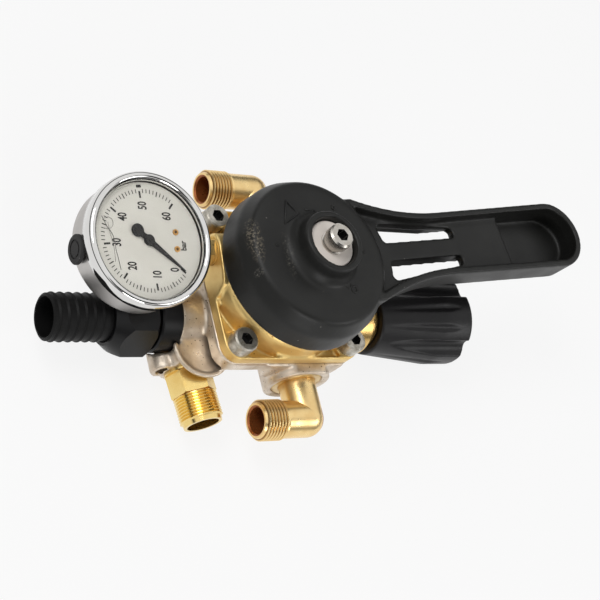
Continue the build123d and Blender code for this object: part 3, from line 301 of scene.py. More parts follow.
ragged = math_node(specks, "MULTIPLY_ADD", wavy, RAGGED_AMOUNT, cells.outputs["Distance"])
nearness = math_node(specks, "SUBTRACT", math_node(specks, "ADD", speck_size, RAGGED_OFFSET), ragged)
soft_spot = math_node(specks, "MULTIPLY", nearness, RIM_STEEPNESS, clamp=True)
specks.links.new(math_node(specks, "MULTIPLY", soft_spot, chosen), specks_out.inputs["Mask"])
print("group:", specks.name)

# %% [markdown]
# Grain: the fine roughness of a casting or a moulding, as a height for Bump.

# %% Group: grain
grain, grain_in, grain_out = new_group(
    "grain",
    [("Vector", "vector", None), ("Scale", "number", 900.0)],
    [("Height", "number")],
)
fine = noise(grain, grain_in.outputs["Vector"], grain_in.outputs["Scale"], 4, 0.65)
grain.links.new(fine, grain_out.inputs["Height"])
print("group:", grain.name)

# %% [markdown]
# Turning lines: a lathe leaves fine rings. In a piece's own axes, with Z along
# its axis, their height is a sine of the distance along the axis plus the
# distance from it, so that they show on the sides and on the faces alike.

# %% Group: turning lines
turning, turning_in, turning_out = new_group(
    "turning lines",
    [("Vector", "vector", None), ("Pitch", "number", 0.0004)],
    [("Height", "number")],
)
turned_x, turned_y, turned_z = split(turning, turning_in.outputs["Vector"])
squares = [
    math_node(turning, "POWER", math_node(turning, "ABSOLUTE", part), 2.0) for part in (turned_x, turned_y)
]
from_axis = math_node(turning, "SQRT", math_node(turning, "ADD", *squares))
travel = math_node(turning, "ADD", from_axis, turned_z)
waves = math_node(turning, "SINE", math_node(turning, "DIVIDE", travel, turning_in.outputs["Pitch"]))
rough_rings = noise(turning, turning_in.outputs["Vector"], 120.0, 2)
turning.links.new(math_node(turning, "MULTIPLY", waves, rough_rings), turning_out.inputs["Height"])
print("group:", turning.name)

# %% [markdown]
# Round marks: painted shade in the socket of a screw's head and inside a pipe
# makes them darker than the metal round them. A point is in the mark where its distance
# from an axis along Z is under a radius and it is below a top level.

# %% Group: round mark
rounds, rounds_in, rounds_out = new_group(
    "round mark",
    [("Vector", "vector", None), ("Centre", "vector", (0.0, 0.0, 0.0)), ("Radius", "number", 0.003),
     ("Top", "number", 10.0), ("Edge", "number", 0.0003)],
    [("Mask", "number")],
)
away = vector_math(rounds, "SUBTRACT", rounds_in.outputs["Vector"], rounds_in.outputs["Centre"])
away_x, away_y, away_z = split(rounds, away.outputs[0])
squares = [math_node(rounds, "MULTIPLY", part, part) for part in (away_x, away_y)]
from_centre = math_node(rounds, "SQRT", math_node(rounds, "ADD", *squares))
depth = math_node(rounds, "SUBTRACT", rounds_in.outputs["Radius"], from_centre)
inside = math_node(rounds, "DIVIDE", depth, rounds_in.outputs["Edge"], clamp=True)
below = math_node(rounds, "LESS_THAN", away_z, rounds_in.outputs["Top"])
rounds.links.new(math_node(rounds, "MULTIPLY", inside, below), rounds_out.inputs["Mask"])
print("group:", rounds.name)

# %% [markdown]
# A finish starts from one base material: Object coordinates, turned and
# centred by a Mapping node where the pattern follows an axis, and a
# Principled shader whose plain numbers are set on its own sockets.

# %% Base material
def new_finish(name, roughness, metallic=0.0, centre=(0, 0, 0), turn=(0, 0, 0), **plain):
    """A material with its tree, its shader and a vector socket to build from."""
    material = bpy.data.materials.new(name)
    material.use_nodes = True
    tree = material.node_tree
    shader = tree.nodes["Principled BSDF"]
    shader.inputs["Roughness"].default_value = roughness
    shader.inputs["Metallic"].default_value = metallic
    for socket, value in plain.items():
        shader.inputs[socket.replace("_", " ")].default_value = value
    coordinates = tree.nodes.new("ShaderNodeTexCoord")
    place = tree.nodes.new("ShaderNodeMapping")
    place.vector_type = "TEXTURE"
    place.inputs["Location"].default_value = centre
    place.inputs["Rotation"].default_value = turn
    tree.links.new(coordinates.outputs["Object"], place.inputs["Vector"])
    return material, tree, shader, place.outputs[0]


def use_group(tree, group, vector, **values):
    """Places a node group; values are sockets or numbers. Gives the node."""
    node = tree.nodes.new("ShaderNodeGroup")
    node.node_tree = group
    feed(tree, node.inputs["Vector"], vector)
    for socket, value in values.items():
        feed(tree, node.inputs[socket], value)
    return node


def set_bump(tree, shader, height, strength, distance):
    """Feeds a height socket through a Bump node to the shader's Normal."""
    bump = tree.nodes.new("ShaderNodeBump")
    bump.inputs["Strength"].default_value = strength
    bump.inputs["Distance"].default_value = distance
    tree.links.new(height, bump.inputs["Height"])
    tree.links.new(bump.outputs[0], shader.inputs["Normal"])


def vary_roughness(tree, shader, mask, low, high):
    """Roughness runs from low to high as the mask runs from 0 to 1."""
    tree.links.new(math_node(tree, "MULTIPLY_ADD", mask, high - low, low), shader.inputs["Roughness"])


print("base ready")

# %% [markdown]
# A metal drifts between two colours, has a grain or turning lines in its
# bump, and specks where it is cast or plated.

# %% Metal finish
METAL_SPECK_SIZE = 0.36
TURNING_RELIEF, GRAIN_RELIEF = 0.00008, 0.0004


def metal(name, main, second, roughness, drift_scale=60.0, amount=0.6, grain_scale=900.0, bump=0.15,
          lines=0.0, speck_colour=None, share=0.25, speck_scale=700.0, metallic=1.0,
          centre=(0, 0, 0), turn=(0, 0, 0)):
    """A metal with tone drift, and turning lines of this pitch, or grain where it is 0."""
    material, tree, shader, vector = new_finish(name, roughness, metallic, centre, turn)
    tone = use_group(tree, drift, vector, Scale=drift_scale, Amount=amount, Main=main, Second=second)
    result = tone.outputs["Color"]
    if speck_colour:
        spots = use_group(tree, specks, vector, Scale=speck_scale, Size=METAL_SPECK_SIZE, Share=share)
        result = mix_colour(tree, spots.outputs["Mask"], result, speck_colour)
    tree.links.new(result, shader.inputs["Base Color"])
    vary_roughness(tree, shader, tone.outputs["Mask"], roughness * 0.85, min(1.0, roughness * 1.3))
    if lines:
        height = use_group(tree, turning, vector, Pitch=lines).outputs["Height"]
        set_bump(tree, shader, height, bump, TURNING_RELIEF)
    else:
        height = use_group(tree, grain, vector, Scale=grain_scale).outputs["Height"]
        set_bump(tree, shader, height, bump, GRAIN_RELIEF)
    return material


nickel = metal("cast nickel", colour(232, 220, 204), colour(170, 146, 116), 0.32, drift_scale=60, amount=0.85,
               grain_scale=1500, bump=0.4, speck_colour=colour(104, 88, 68), share=0.25, speck_scale=800,
               metallic=0.78)
cover_brass = metal("cast brass", colour(238, 208, 138), colour(220, 180, 106), 0.36, drift_scale=70,
                    amount=0.7, grain_scale=1200, bump=0.22, speck_colour=colour(168, 128, 66),
                    share=0.1, speck_scale=600, metallic=0.7)
print("cast finishes:", nickel.name, cover_brass.name)

# %% [markdown]
# A mark is a second tone in a finish, such as the shadow in a socket. It shows
# where a mask, made from the plain Object coordinates, is 1.

# %% Marks
def plain_coordinates(tree):
    """The Object coordinates that a finish starts from."""
    return next(node for node in tree.nodes if node.type == "TEX_COORD").outputs["Object"]


def tint(tree, shader, mask, tone):
    """Mixes a tone into the shader's colour where the mask is 1."""
    before = shader.inputs["Base Color"].links[0].from_socket
    tree.links.new(mix_colour(tree, mask, before, tone), shader.inputs["Base Color"])


def mark_metal(material, mask_of, tone, metallic=None):
    """Tints a metal where mask_of(tree, raw) is 1; a number for metallic holds there too."""
    tree = material.node_tree
    shader = tree.nodes["Principled BSDF"]
    mask = mask_of(tree, plain_coordinates(tree))
    tint(tree, shader, mask, tone)
    if metallic is not None:
        plain = shader.inputs["Metallic"].default_value
        level = math_node(tree, "MULTIPLY_ADD", mask, metallic - plain, plain)
        tree.links.new(level, shader.inputs["Metallic"])


def folded(tree, raw, middle):
    """The distance from a middle along each axis, so that mirrored marks become one."""
    return vector_math(tree, "ABSOLUTE", vector_math(tree, "SUBTRACT", raw, middle).outputs[0]).outputs[0]


def node_centre(name):
    """The middle of a node's box, which for a turned piece is on its axis."""
    low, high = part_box(name)
    return tuple((low + high) / 2)


print("mark helpers ready")

# %% [markdown]
# The elbows are brass. Each outlet's axis runs along X. The grooves of its
# thread and its bore are darkened with painted shade, reddish in the bore.

# %% Elbow finishes
OUTLET_SIDE, OUTLET_HEIGHT = 0.065, 0.028
BORE_RADIUS = 0.0079
CREST_RADIUS, CREST_EDGE = 0.0102, 0.0007
RIM_RADIUS, RIM_EDGE = 0.0093, 0.0001
THREAD_LENGTH = 0.0137
ALONG_Z_TO_X = (0, -math.pi / 2, 0)


def within_outlet(side, radius, top=10.0, edge=0.0003):
    """A mask function, 1 within a radius of the outlet's axis and below a top X.
    The Mapping node turns the point so that its Z is X and its X is -Z."""
    def mask_of(tree, raw):
        turned = tree.nodes.new("ShaderNodeMapping")
        turned.inputs["Rotation"].default_value = ALONG_Z_TO_X
        tree.links.new(raw, turned.inputs["Vector"])
        centre = (-OUTLET_HEIGHT, side * OUTLET_SIDE, 0.0)
        mark = use_group(tree, rounds, turned.outputs[0], Centre=centre, Radius=radius, Top=top, Edge=edge)
        return mark.outputs["Mask"]

    return mask_of


def groove_shade_of_outlet(side, thread_end):
    """A mask function for painted shade in the grooves: 1 under the thread's crests but outside the end
    face's rim.
    """
    under_crest = within_outlet(side, CREST_RADIUS, thread_end, CREST_EDGE)
    end_face = within_outlet(side, RIM_RADIUS, thread_end, RIM_EDGE)

    def mask_of(tree, raw):
        return math_node(tree, "SUBTRACT", under_crest(tree, raw), end_face(tree, raw), clamp=True)

    return mask_of


brass_by_node = {}
for label, side in (("lower_elbow", -1), ("upper_elbow", 1)):
    elbow_brass = metal(label + " brass", colour(250, 220, 158), colour(230, 188, 120), 0.3, drift_scale=110,
                        amount=0.6, grain_scale=420, bump=0.1, metallic=0.88)
    thread_end = float(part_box(label)[0][0]) + THREAD_LENGTH
    # Painted shade: darker grooves in the thread, and a darker, reddish bore.
    mark_metal(elbow_brass, groove_shade_of_outlet(side, thread_end), colour(142, 96, 46))
    mark_metal(elbow_brass, within_outlet(side, BORE_RADIUS), colour(168, 98, 50), 0.55)
    brass_by_node[label] = elbow_brass
print("elbow finishes:", list(brass_by_node))

# %% [markdown]
# Turned parts have fine rings round an axis. It is the axis of the ring nut,
# the nipple or the gauge's case where a centre is given, and otherwise the
# unit's own Z axis. Polished and spring steel have a faint grain instead.

# %% Turned finishes
ALONG_Y = (math.pi / 2, 0, 0)
for label in ("lower_ring_nut", "upper_ring_nut"):
    brass_by_node[label] = metal(label + " brass", colour(222, 196, 140), colour(184, 148, 92), 0.3,
                                 drift_scale=150, amount=0.7, lines=0.00013, bump=0.3,
                                 centre=node_centre(label), turn=ALONG_Y, metallic=0.85)
turned_brass = metal("turned brass", colour(226, 190, 122), colour(202, 160, 92), 0.28, drift_scale=90,
                     amount=0.5, lines=0.00012, bump=0.2)
nipple_brass = metal("bright brass", colour(244, 218, 146), colour(226, 186, 104), 0.2, drift_scale=60,
                     amount=0.7, lines=0.00012, bump=0.1, centre=node_centre("hex_nipple"), turn=ALONG_Y)
stainless = metal("brushed stainless", colour(196, 193, 190), colour(170, 166, 163), 0.4, drift_scale=30,
                  amount=0.5, lines=0.00007, bump=0.1, centre=node_centre("gauge_case"),
                  turn=(GAUGE_TILT, 0, 0))
polished = metal("polished steel", colour(222, 221, 219), colour(206, 205, 203), 0.07, drift_scale=40,
                 amount=0.4, grain_scale=300, bump=0.01)
spring_steel = metal("spring steel", colour(150, 148, 146), colour(110, 106, 100), 0.3, drift_scale=300,
                     amount=0.6)
print("finishes by node:", len(brass_by_node))

# %% [markdown]
# The sockets in the screws' heads are darkened with painted shade. The four in the cover lie at
# plus and minus one offset, so the folded point is compared with one of them.

# %% Screw finishes
SCREW_OFFSET = 0.0334
SOCKET_RADIUS, SOCKET_DEPTH = 0.0036, 0.0004
zinc = metal("zinc plated steel", colour(206, 202, 192), colour(132, 124, 108), 0.36, drift_scale=260,
             amount=0.8, grain_scale=1500, bump=0.2, speck_colour=colour(84, 78, 68), share=0.25,
             speck_scale=900, metallic=0.85)
screw_steel = metal("lever screw steel", colour(204, 200, 194), colour(168, 160, 148), 0.24, drift_scale=200,
                    amount=0.6, lines=0.0001, bump=0.15, centre=node_centre("lever_screw"))


def socket_shade(tree, point, x, y, head_top):
    """The mask of painted shade in a socket at (x, y) in a head whose top is at this height."""
    mark = use_group(tree, rounds, point, Centre=(x, y, 0.0), Radius=SOCKET_RADIUS,
                     Top=head_top - SOCKET_DEPTH)
    return mark.outputs["Mask"]


def socket_shade_of_cover(tree, raw):
    """Painted shade in the sockets of the four cover screws, folded onto one."""
    head_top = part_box("cover_screws")[1][2]
    return socket_shade(tree, folded(tree, raw, (0, 0, 0)), SCREW_OFFSET, SCREW_OFFSET, head_top)


def socket_shade_of_lever(tree, raw):
    """Painted shade in the socket of the screw in the lever's hub."""
    x, y, _ = node_centre("lever_screw")
    head_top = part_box("lever_screw")[1][2]
    return socket_shade(tree, raw, x, y, head_top)


# Painted shade in the sockets of the screws' heads.
mark_metal(zinc, socket_shade_of_cover, colour(26, 25, 24), 0.2)
mark_metal(screw_steel, socket_shade_of_lever, colour(30, 28, 27), 0.2)
print("screw finishes ready")

# %% [markdown]
# The two rivets that hold the dial have a rolled rim round a hollow, darkened with painted shade. They
# lie at equal distances from their middle along Y, so they are folded too.

# %% Rivet finish
RIVET_SPREAD, HOLLOW_RADIUS, HOLLOW_EDGE = 0.00415, 0.0009, 0.0004
rivet_brass = metal("rivet brass", colour(206, 160, 96), colour(176, 126, 66), 0.3, drift_scale=300,
                    amount=0.6, metallic=0.8)
rivet_low, rivet_high = (np.array(corner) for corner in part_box("dial_rivets"))
rivet_middle = (rivet_low + rivet_high) / 2


def hollow_shade_of_rivets(tree, raw):
    """Painted shade in the hollows of both rivets, folded onto one."""
    point = folded(tree, raw, tuple(rivet_middle))
    mark = use_group(tree, rounds, point, Centre=(0.0, RIVET_SPREAD, 0.0), Radius=HOLLOW_RADIUS,
                     Edge=HOLLOW_EDGE)
    return mark.outputs["Mask"]


# Painted shade in the hollows of the rivets.
mark_metal(rivet_brass, hollow_shade_of_rivets, colour(84, 52, 22), 0.3)
print("rivets at", rivet_middle.round(4))

# %% [markdown]
# Moulded plastic, rubber and print: satin, with a fine grain and sparse dust.

# %% Plastic finishes
MOULDED_RELIEF = 0.0002


def moulded(name, main, second, roughness, bump=0.25, dust=0.12, dust_colour=(0.16, 0.15, 0.14, 1),
            shine=0.5):
    """A moulding with tone drift, fine grain and dust on a share of its cells."""
    material, tree, shader, vector = new_finish(name, roughness, 0.0, Specular_IOR_Level=shine)
    tone = use_group(tree, drift, vector, Scale=45.0, Amount=0.7, Main=main, Second=second)
    spots = use_group(tree, specks, vector, Scale=520.0, Size=0.26, Share=dust)
    dusty = mix_colour(tree, spots.outputs["Mask"], tone.outputs["Color"], dust_colour)
    tree.links.new(dusty, shader.inputs["Base Color"])
    vary_roughness(tree, shader, tone.outputs["Mask"], roughness * 0.9, min(1.0, roughness * 1.25))
    height = use_group(tree, grain, vector, Scale=1400.0).outputs["Height"]
    set_bump(tree, shader, height, bump, MOULDED_RELIEF)
    return material


lever_black = moulded("lever moulding", colour(27, 27, 25), colour(19, 19, 18), 0.42, dust=0.015, shine=0.32)
knob_black = moulded("knob moulding", colour(25, 24, 25), colour(17, 16, 18), 0.38, dust=0.01, shine=0.3)
nylon = moulded("black nylon", colour(19, 19, 20), colour(12, 12, 13), 0.32, dust=0.01, shine=0.25)
tail_nylon = moulded("tail nylon", colour(19, 19, 19), colour(13, 13, 13), 0.5, dust=0.01, shine=0.16)
rubber = moulded("black rubber", colour(36, 35, 34), colour(26, 25, 25), 0.7, dust=0.02)
washer_white = moulded("pale washer", colour(246, 238, 230), colour(238, 228, 218), 0.5, bump=0.08, dust=0.03,
                       dust_colour=(0.5, 0.46, 0.4, 1))
dial_white = moulded("dial enamel", colour(182, 180, 173), colour(174, 171, 163), 0.55, bump=0.02, dust=0.01,
                     dust_colour=(0.5, 0.48, 0.44, 1))
ink = moulded("dial ink", colour(20, 19, 19), colour(28, 27, 27), 0.6, bump=0.02, dust=0.0, shine=0.3)
grey_line = moulded("fill line", colour(96, 95, 92), colour(116, 114, 110), 0.5, bump=0.02, dust=0.0)
print("plastic finishes ready")

# %% [markdown]
# Dust has settled on the lever, on the gauge's side of its hub: pale scuffs
# that a noise breaks up, only inside soft patches. A patch is an ellipsoid. It
# starts to fade a little over half way out and is gone at 1.2 of its reach.

# %% Dust on the lever
FADE_SLOPE, FADE_START = -1.6, 1.9
SCUFF_SCALE, SCUFF_CONTRAST, SCUFF_OFFSET = 760.0, 8.0, -4.0


def add_dust(material, centre, reach, tone, amount):
    """Adds scuffs in a patch round a centre that reaches this far on each axis."""
    tree = material.node_tree
    raw = plain_coordinates(tree)
    patch = tree.nodes.new("ShaderNodeMapping")
    patch.vector_type = "TEXTURE"
    patch.inputs["Location"].default_value = centre
    patch.inputs["Scale"].default_value = reach
    tree.links.new(raw, patch.inputs["Vector"])
    distance = vector_math(tree, "LENGTH", patch.outputs[0]).outputs["Value"]
    near = math_node(tree, "MULTIPLY_ADD", distance, FADE_SLOPE, FADE_START, clamp=True)
    speckle = noise(tree, raw, SCUFF_SCALE, 5, 0.8)
    broken = math_node(tree, "MULTIPLY_ADD", speckle, SCUFF_CONTRAST, SCUFF_OFFSET, clamp=True)
    mask = math_node(tree, "MULTIPLY", math_node(tree, "MULTIPLY", near, broken), amount)
    tint(tree, tree.nodes["Principled BSDF"], mask, tone)


add_dust(lever_black, (-0.0374, 0.006, 0.0875), (0.0036, 0.0125, 0.006), colour(150, 140, 122), 0.7)
add_dust(lever_black, (-0.0385, -0.0113, 0.0875), (0.0016, 0.002, 0.006), colour(150, 146, 136), 0.8)
add_dust(lever_black, (-0.021, -0.003, 0.089), (0.0026, 0.012, 0.003), colour(124, 120, 112), 0.4)
print("dust added")

# %% [markdown]
# The window is clear plastic. It lets shadow rays through, so that the dial
# behind it is lit. Its index is lower than that of real plastic, which keeps
# the reflections on it faint.

# %% Window finish
WINDOW_INDEX = 1.2
window_clear, window_tree, window_shader, window_vector = new_finish(
    "clear window", 0.03, 0.0, Transmission_Weight=1.0, IOR=WINDOW_INDEX
)
window_shader.inputs["Base Color"].default_value = (0.97, 0.97, 0.96, 1)
smears = use_group(window_tree, grain, window_vector, Scale=60.0)
set_bump(window_tree, window_shader, smears.outputs["Height"], 0.02, 0.0005)
light_path = window_tree.nodes.new("ShaderNodeLightPath")
see_through = window_tree.nodes.new("ShaderNodeBsdfTransparent")
either = mix_shaders(
    window_tree, light_path.outputs["Is Shadow Ray"], window_shader.outputs[0], see_through.outputs[0]
)
window_tree.links.new(either, window_tree.nodes["Material Output"].inputs["Surface"])
print("window ready")

# %% [markdown]
# Every CAD node gets a finish. One that isn't listed is a seal of black rubber
# if its name says so, and a turned brass part if not.

# %% Finish of every node
finish_by_node = {
    **brass_by_node,
    "hex_nipple": nipple_brass, "nipple_seal": nipple_brass,
    "union_nut": nylon, "hose_adaptor": nylon, "hose_tail": tail_nylon,
    "gauge_case": stainless, "bezel": polished, "window": window_clear, "dial": dial_white,
    "cover_screws": zinc, "knob_screw": zinc, "lever_screw": screw_steel, "lever_washer": washer_white,
    "knob": knob_black, "fill_plug": rubber, "valve_pad": rubber, "pointer": ink, "pinion_shaft": ink,
    "valve_body": nickel, "top_cover": cover_brass, "lever": lever_black,
    "stem": stainless, "spindle": stainless, "relief_piston": stainless, "relief_seat": stainless,
    "bypass_spring": spring_steel, "pressure_spring": spring_steel,
    "dial_rivets": rivet_brass, "gauge_seal": cover_brass, "gauge_socket": cover_brass,
}
for name, node in nodes.items():
    fallback = rubber if "seal" in name else turned_brass
    node.data.materials.clear()
    node.data.materials.append(finish_by_node.get(name, fallback))
print("finished nodes:", len(nodes))

# %% [markdown]
# The body and the cover are castings and the lever and knob are moulded, so no
# edge on them is sharp. Their CAD meshes are copied, welded, rebuilt from small
# cubes and smoothed: that rounds every edge by about a millimetre.

# %% Soft castings
WELD_DISTANCE = 1e-6


def softened(name, source, voxel, passes):
    """A welded copy of a node, rebuilt from cubes of this size (0 for not) and smoothed."""
    copy = bpy.data.objects.new(name + "_draft", nodes[source].data.copy())
    scene.collection.objects.link(copy)
    weld = copy.modifiers.new("weld", "WELD")
    weld.merge_threshold = WELD_DISTANCE
    if voxel:
        cubes = copy.modifiers.new("cubes", "REMESH")
        cubes.mode = "VOXEL"
        cubes.voxel_size = voxel
        cubes.use_smooth_shade = True
        smooth = copy.modifiers.new("smooth", "SMOOTH")
        smooth.factor = 0.5
        smooth.iterations = passes
    ready = copy.evaluated_get(bpy.context.evaluated_depsgraph_get())
    mesh = bpy.data.meshes.new_from_object(ready)
    mesh.name = name
    bpy.data.objects.remove(copy)
    piece = bpy.data.objects.new(name, mesh)
    scene.collection.objects.link(piece)
    return piece


# Each piece's name, node, body, finish, slot, cube size and smoothing passes.
soft_pieces = [
    ("body_casting", "valve_body", "housing", nickel, "nickel_casting", 0.0009, 4),
    ("cover_casting", "top_cover", "housing", cover_brass, "cast_brass", 0.0007, 4),
    ("lever_moulding", "lever", "lever_group", lever_black, "black_moulding", 0.0009, 4),
    ("knob_moulding", "knob", "knob_group", knob_black, "black_moulding", 0.0007, 3),
]
for name, source, body, material, slot, voxel, passes in soft_pieces:
    finish_piece(softened(name, source, voxel, passes), body, material, [source])

# %% [markdown]
# The spring over the stem's disc gets shorter when the lever lifts the stem. Here
# it is a welded copy of its node, with a mesh of its own.

# %% Spring as a welded copy
spring_copy = softened("bypass_spring_coil", "bypass_spring", 0, 0)
finish_piece(spring_copy, "housing", spring_steel, ["bypass_spring"])
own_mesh(spring_copy)

# %% [markdown]
# The bezel is spun from thin polished steel, so its front is a full round roll
# and not a flat ring with small fillets. A profile carried round the gauge's
# axis gives it: half an ellipse for the roll, and a straight skirt behind it.

# %% Bezel
BEZEL_RADIUS, BEZEL_INSIDE, BEZEL_DEPTH, CASE_OUTSIDE = 0.0333, 0.0288, 0.0076, 0.03185
ROLL_HEIGHT, ROLL_LIP = 0.0031, 0.0002
SKIRT_CHAMFER_IN, SKIRT_CHAMFER_UP = 0.0004, 0.0006


def spun(name, profile, centre, steps=144):
    """A closed profile of (radius, height) points carried round the gauge's axis:
    point = centre + radius * (cos t * across + sin t * up) + height * out."""
    profile = np.array(profile)
    turn = np.linspace(0, 2 * math.pi, steps, endpoint=False)
    around = np.cos(turn)[:, None] * GAUGE_ACROSS + np.sin(turn)[:, None] * GAUGE_UP
    points = centre + profile[None, :, :1] * around[:, None] + profile[None, :, 1:] * GAUGE_OUT
    return new_piece(name, points.reshape(-1, 3), ring_faces(steps, len(profile)))


bezel_low, bezel_high = (np.array(corner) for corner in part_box("bezel"))
half_depth = BEZEL_DEPTH / 2
roll_middle, roll_half = (BEZEL_RADIUS + BEZEL_INSIDE) / 2, (BEZEL_RADIUS - BEZEL_INSIDE) / 2
roll_base = half_depth - ROLL_HEIGHT
profile = [
    (BEZEL_RADIUS - SKIRT_CHAMFER_IN, -half_depth), (BEZEL_RADIUS, -half_depth + SKIRT_CHAMFER_UP),
    *((roll_middle + roll_half * math.cos(t), roll_base + ROLL_HEIGHT * math.sin(t))
      for t in np.linspace(0, math.pi, 33)),
    (BEZEL_INSIDE, roll_base - ROLL_LIP), (CASE_OUTSIDE, roll_base - ROLL_LIP), (CASE_OUTSIDE, -half_depth),
]
bezel_ring = spun("bezel_ring", profile, (bezel_low + bezel_high) / 2)
finish_piece(bezel_ring, "housing", polished, ["bezel"])

# %% [markdown]
# The dial lies flat under the window and tips with the gauge. Its print is laid
# out by clock angles: 0 points to -X and angles grow clockwise. Zero bar is at
# -141 degrees and every ten bar takes 45 degrees more.

# %% Dial directions
DIAL_THICKNESS = 0.0006
DIAL_START = -141.0
DEGREES_PER_BAR = 4.5
FULL_SCALE = 60
dial_centre = np.array(node_centre("dial")) + GAUGE_OUT * DIAL_THICKNESS / 2


def on_dial(along, across, lift=0.0):
    """A point on the dial's face: along goes towards -X, across towards +Y."""
    along, across = np.asarray(along), np.asarray(across)
    return (dial_centre - along[..., None] * GAUGE_ACROSS + across[..., None] * GAUGE_UP + lift * GAUGE_OUT)


def clock(angle, radius):
    """Radius times (cos, sin) of the clock angle, as (along, across)."""
    turn = np.radians(angle)
    return radius * np.cos(turn), radius * np.sin(turn)


print("dial centre:", dial_centre.round(4))

# %% [markdown]
# A tick is a thin box that points to the dial's centre. All ticks are one
# mesh: four arrays give each one's angle, inner and outer radius, and half width.

# %% Dial ticks
TEN_OUTER, TEN_INNER, TEN_HALF = 0.0242, 0.0208, 0.00048
ONE_OUTER, ONE_INNER, ONE_HALF = 0.0252, 0.0232, 0.0002
FIVE_INNER, FIVE_HALF = 0.0226, 0.00026
NOTCH_ANGLE, NOTCH_OUTER, NOTCH_INNER, NOTCH_HALF = 84.4, 0.0273, 0.0259, 0.0013
INK_FOOT, INK_HEIGHT = 0.00001, 0.00006


def tick_boxes(angle, inner, outer, half):
    """Corners at inner and outer radius, half the width to either side, at two
    heights; eight points and six quads for each tick."""
    turn = np.radians(angle)
    points = []
    for lift in (INK_FOOT, INK_HEIGHT):
        for radius, side in ((inner, -1), (outer, -1), (outer, 1), (inner, 1)):
            along = radius * np.cos(turn) - side * half * np.sin(turn)
            across = radius * np.sin(turn) + side * half * np.cos(turn)
            points.append(on_dial(along, across, lift))
    corners = np.stack(points, 1).reshape(-1, 3)
    box = np.array([[0, 1, 2, 3], [4, 7, 6, 5], [0, 4, 5, 1], [1, 5, 6, 2], [2, 6, 7, 3], [3, 7, 4, 0]])
    faces = (box[None] + 8 * np.arange(len(angle))[:, None, None]).reshape(-1, 4)
    return corners, faces


bars = np.arange(0, FULL_SCALE + 1)
is_ten, is_five = bars % 10 == 0, bars % 5 == 0
# The last tick is a short broad mark outside the one for 50 bar.
tick_angle = np.append(DIAL_START + DEGREES_PER_BAR * bars, NOTCH_ANGLE)
tick_inner = np.append(np.where(is_ten, TEN_INNER, np.where(is_five, FIVE_INNER, ONE_INNER)), NOTCH_INNER)
tick_outer = np.append(np.where(is_ten, TEN_OUTER, ONE_OUTER), NOTCH_OUTER)
tick_half = np.append(np.where(is_ten, TEN_HALF, np.where(is_five, FIVE_HALF, ONE_HALF)), NOTCH_HALF)
corners, faces = tick_boxes(tick_angle, tick_inner, tick_outer, tick_half)
dial_ticks = new_piece("dial_ticks", corners, faces, smooth=False)
finish_piece(dial_ticks, "housing", ink)

# %% [markdown]
# The numbers stand with their tops towards -X. Each is made as text, turned
# into a mesh, and its points are moved to the dial by the formula of on_dial.

# %% Dial numbers
SIZE_PER_HEIGHT, STROKE_GAIN = 1.4, 0.034
TEXT_DEPTH, TEXT_LIFT = 0.00003, 0.00004
NUMBER_HEIGHT, UNIT_HEIGHT = 0.0046, 0.0031


def dial_text(text, angle, radius, height, width=0.62):
    """Points and faces of a text centred at this clock angle and radius."""
    curve = bpy.data.curves.new("text", "FONT")
    curve.body = text
    curve.align_x = curve.align_y = "CENTER"
    curve.size = height * SIZE_PER_HEIGHT
    curve.offset = height * STROKE_GAIN
    curve.extrude = TEXT_DEPTH
    holder = bpy.data.objects.new("text", curve)
    mesh = bpy.data.meshes.new_from_object(holder)
    flat = np.zeros(len(mesh.vertices) * 3)
    mesh.vertices.foreach_get("co", flat)
    local = flat.reshape(-1, 3)
    local[:, :2] -= (local[:, :2].min(0) + local[:, :2].max(0)) / 2
    along, across = clock(angle, radius)
    points = on_dial(along + local[:, 1], across + local[:, 0] * width)
    points = points + (local[:, 2:] + TEXT_LIFT) * GAUGE_OUT
    polygons = [tuple(face.vertices) for face in mesh.polygons]
    bpy.data.objects.remove(holder)
    return points, polygons


number_places = {
    "0": (-132.8, 0.0187), "10": (-100.0, 0.0164), "20": (-51.0, 0.0162), "30": (-5.0, 0.0174),
    "40": (40.0, 0.0170), "50": (84.3, 0.0171), "60": (131.5, 0.0166),
}
texts = [dial_text(text, angle, radius, NUMBER_HEIGHT) for text, (angle, radius) in number_places.items()]
texts.append(dial_text("bar", 185.0, 0.0190, UNIT_HEIGHT, 0.85))
text_points, text_faces = merged(texts)
# A mesh made from text has its normals already, so it doesn't go through new_piece.
number_mesh = bpy.data.meshes.new("dial_numbers")
number_mesh.from_pydata(text_points.tolist(), [], text_faces)
dial_numbers = bpy.data.objects.new("dial_numbers", number_mesh)
scene.collection.objects.link(dial_numbers)
finish_piece(dial_numbers, "housing", ink)

# %% [markdown]
# The case is filled with clear liquid. Where it meets the air bubble, and
# where the bubble touches the window, the eye sees thin grey lines. Each is a
# fine bead along a smooth path through a few points.

# %% Liquid lines
BEAD_LIFT = 0.0004


def bead(path, normal, radius, closed=False, around=8):
    """A tube along a path of points: each point carries a ring of this radius in
    the plane of the normal and the side, which is normal x direction. An open
    tube gets a face at each end."""
    path, normal = np.asarray(path, float), np.asarray(normal, float)
    count = len(path)
    ahead = np.roll(path, -1, 0) - np.roll(path, 1, 0)
    if not closed:
        ahead[0], ahead[-1] = path[1] - path[0], path[-1] - path[-2]
    side = np.cross(normal, ahead)
    side /= np.linalg.norm(side, axis=1)[:, None]
    turn = np.linspace(0, 2 * math.pi, around, endpoint=False)
    rings = (path[:, None] + radius * np.cos(turn)[None, :, None] * side[:, None]
             + radius * np.sin(turn)[None, :, None] * normal)
    faces = ring_faces(count, around, closed)
    if not closed:
        faces += [list(range(around)), list(range((count - 1) * around, count * around))[::-1]]
    return rings.reshape(-1, 3), faces


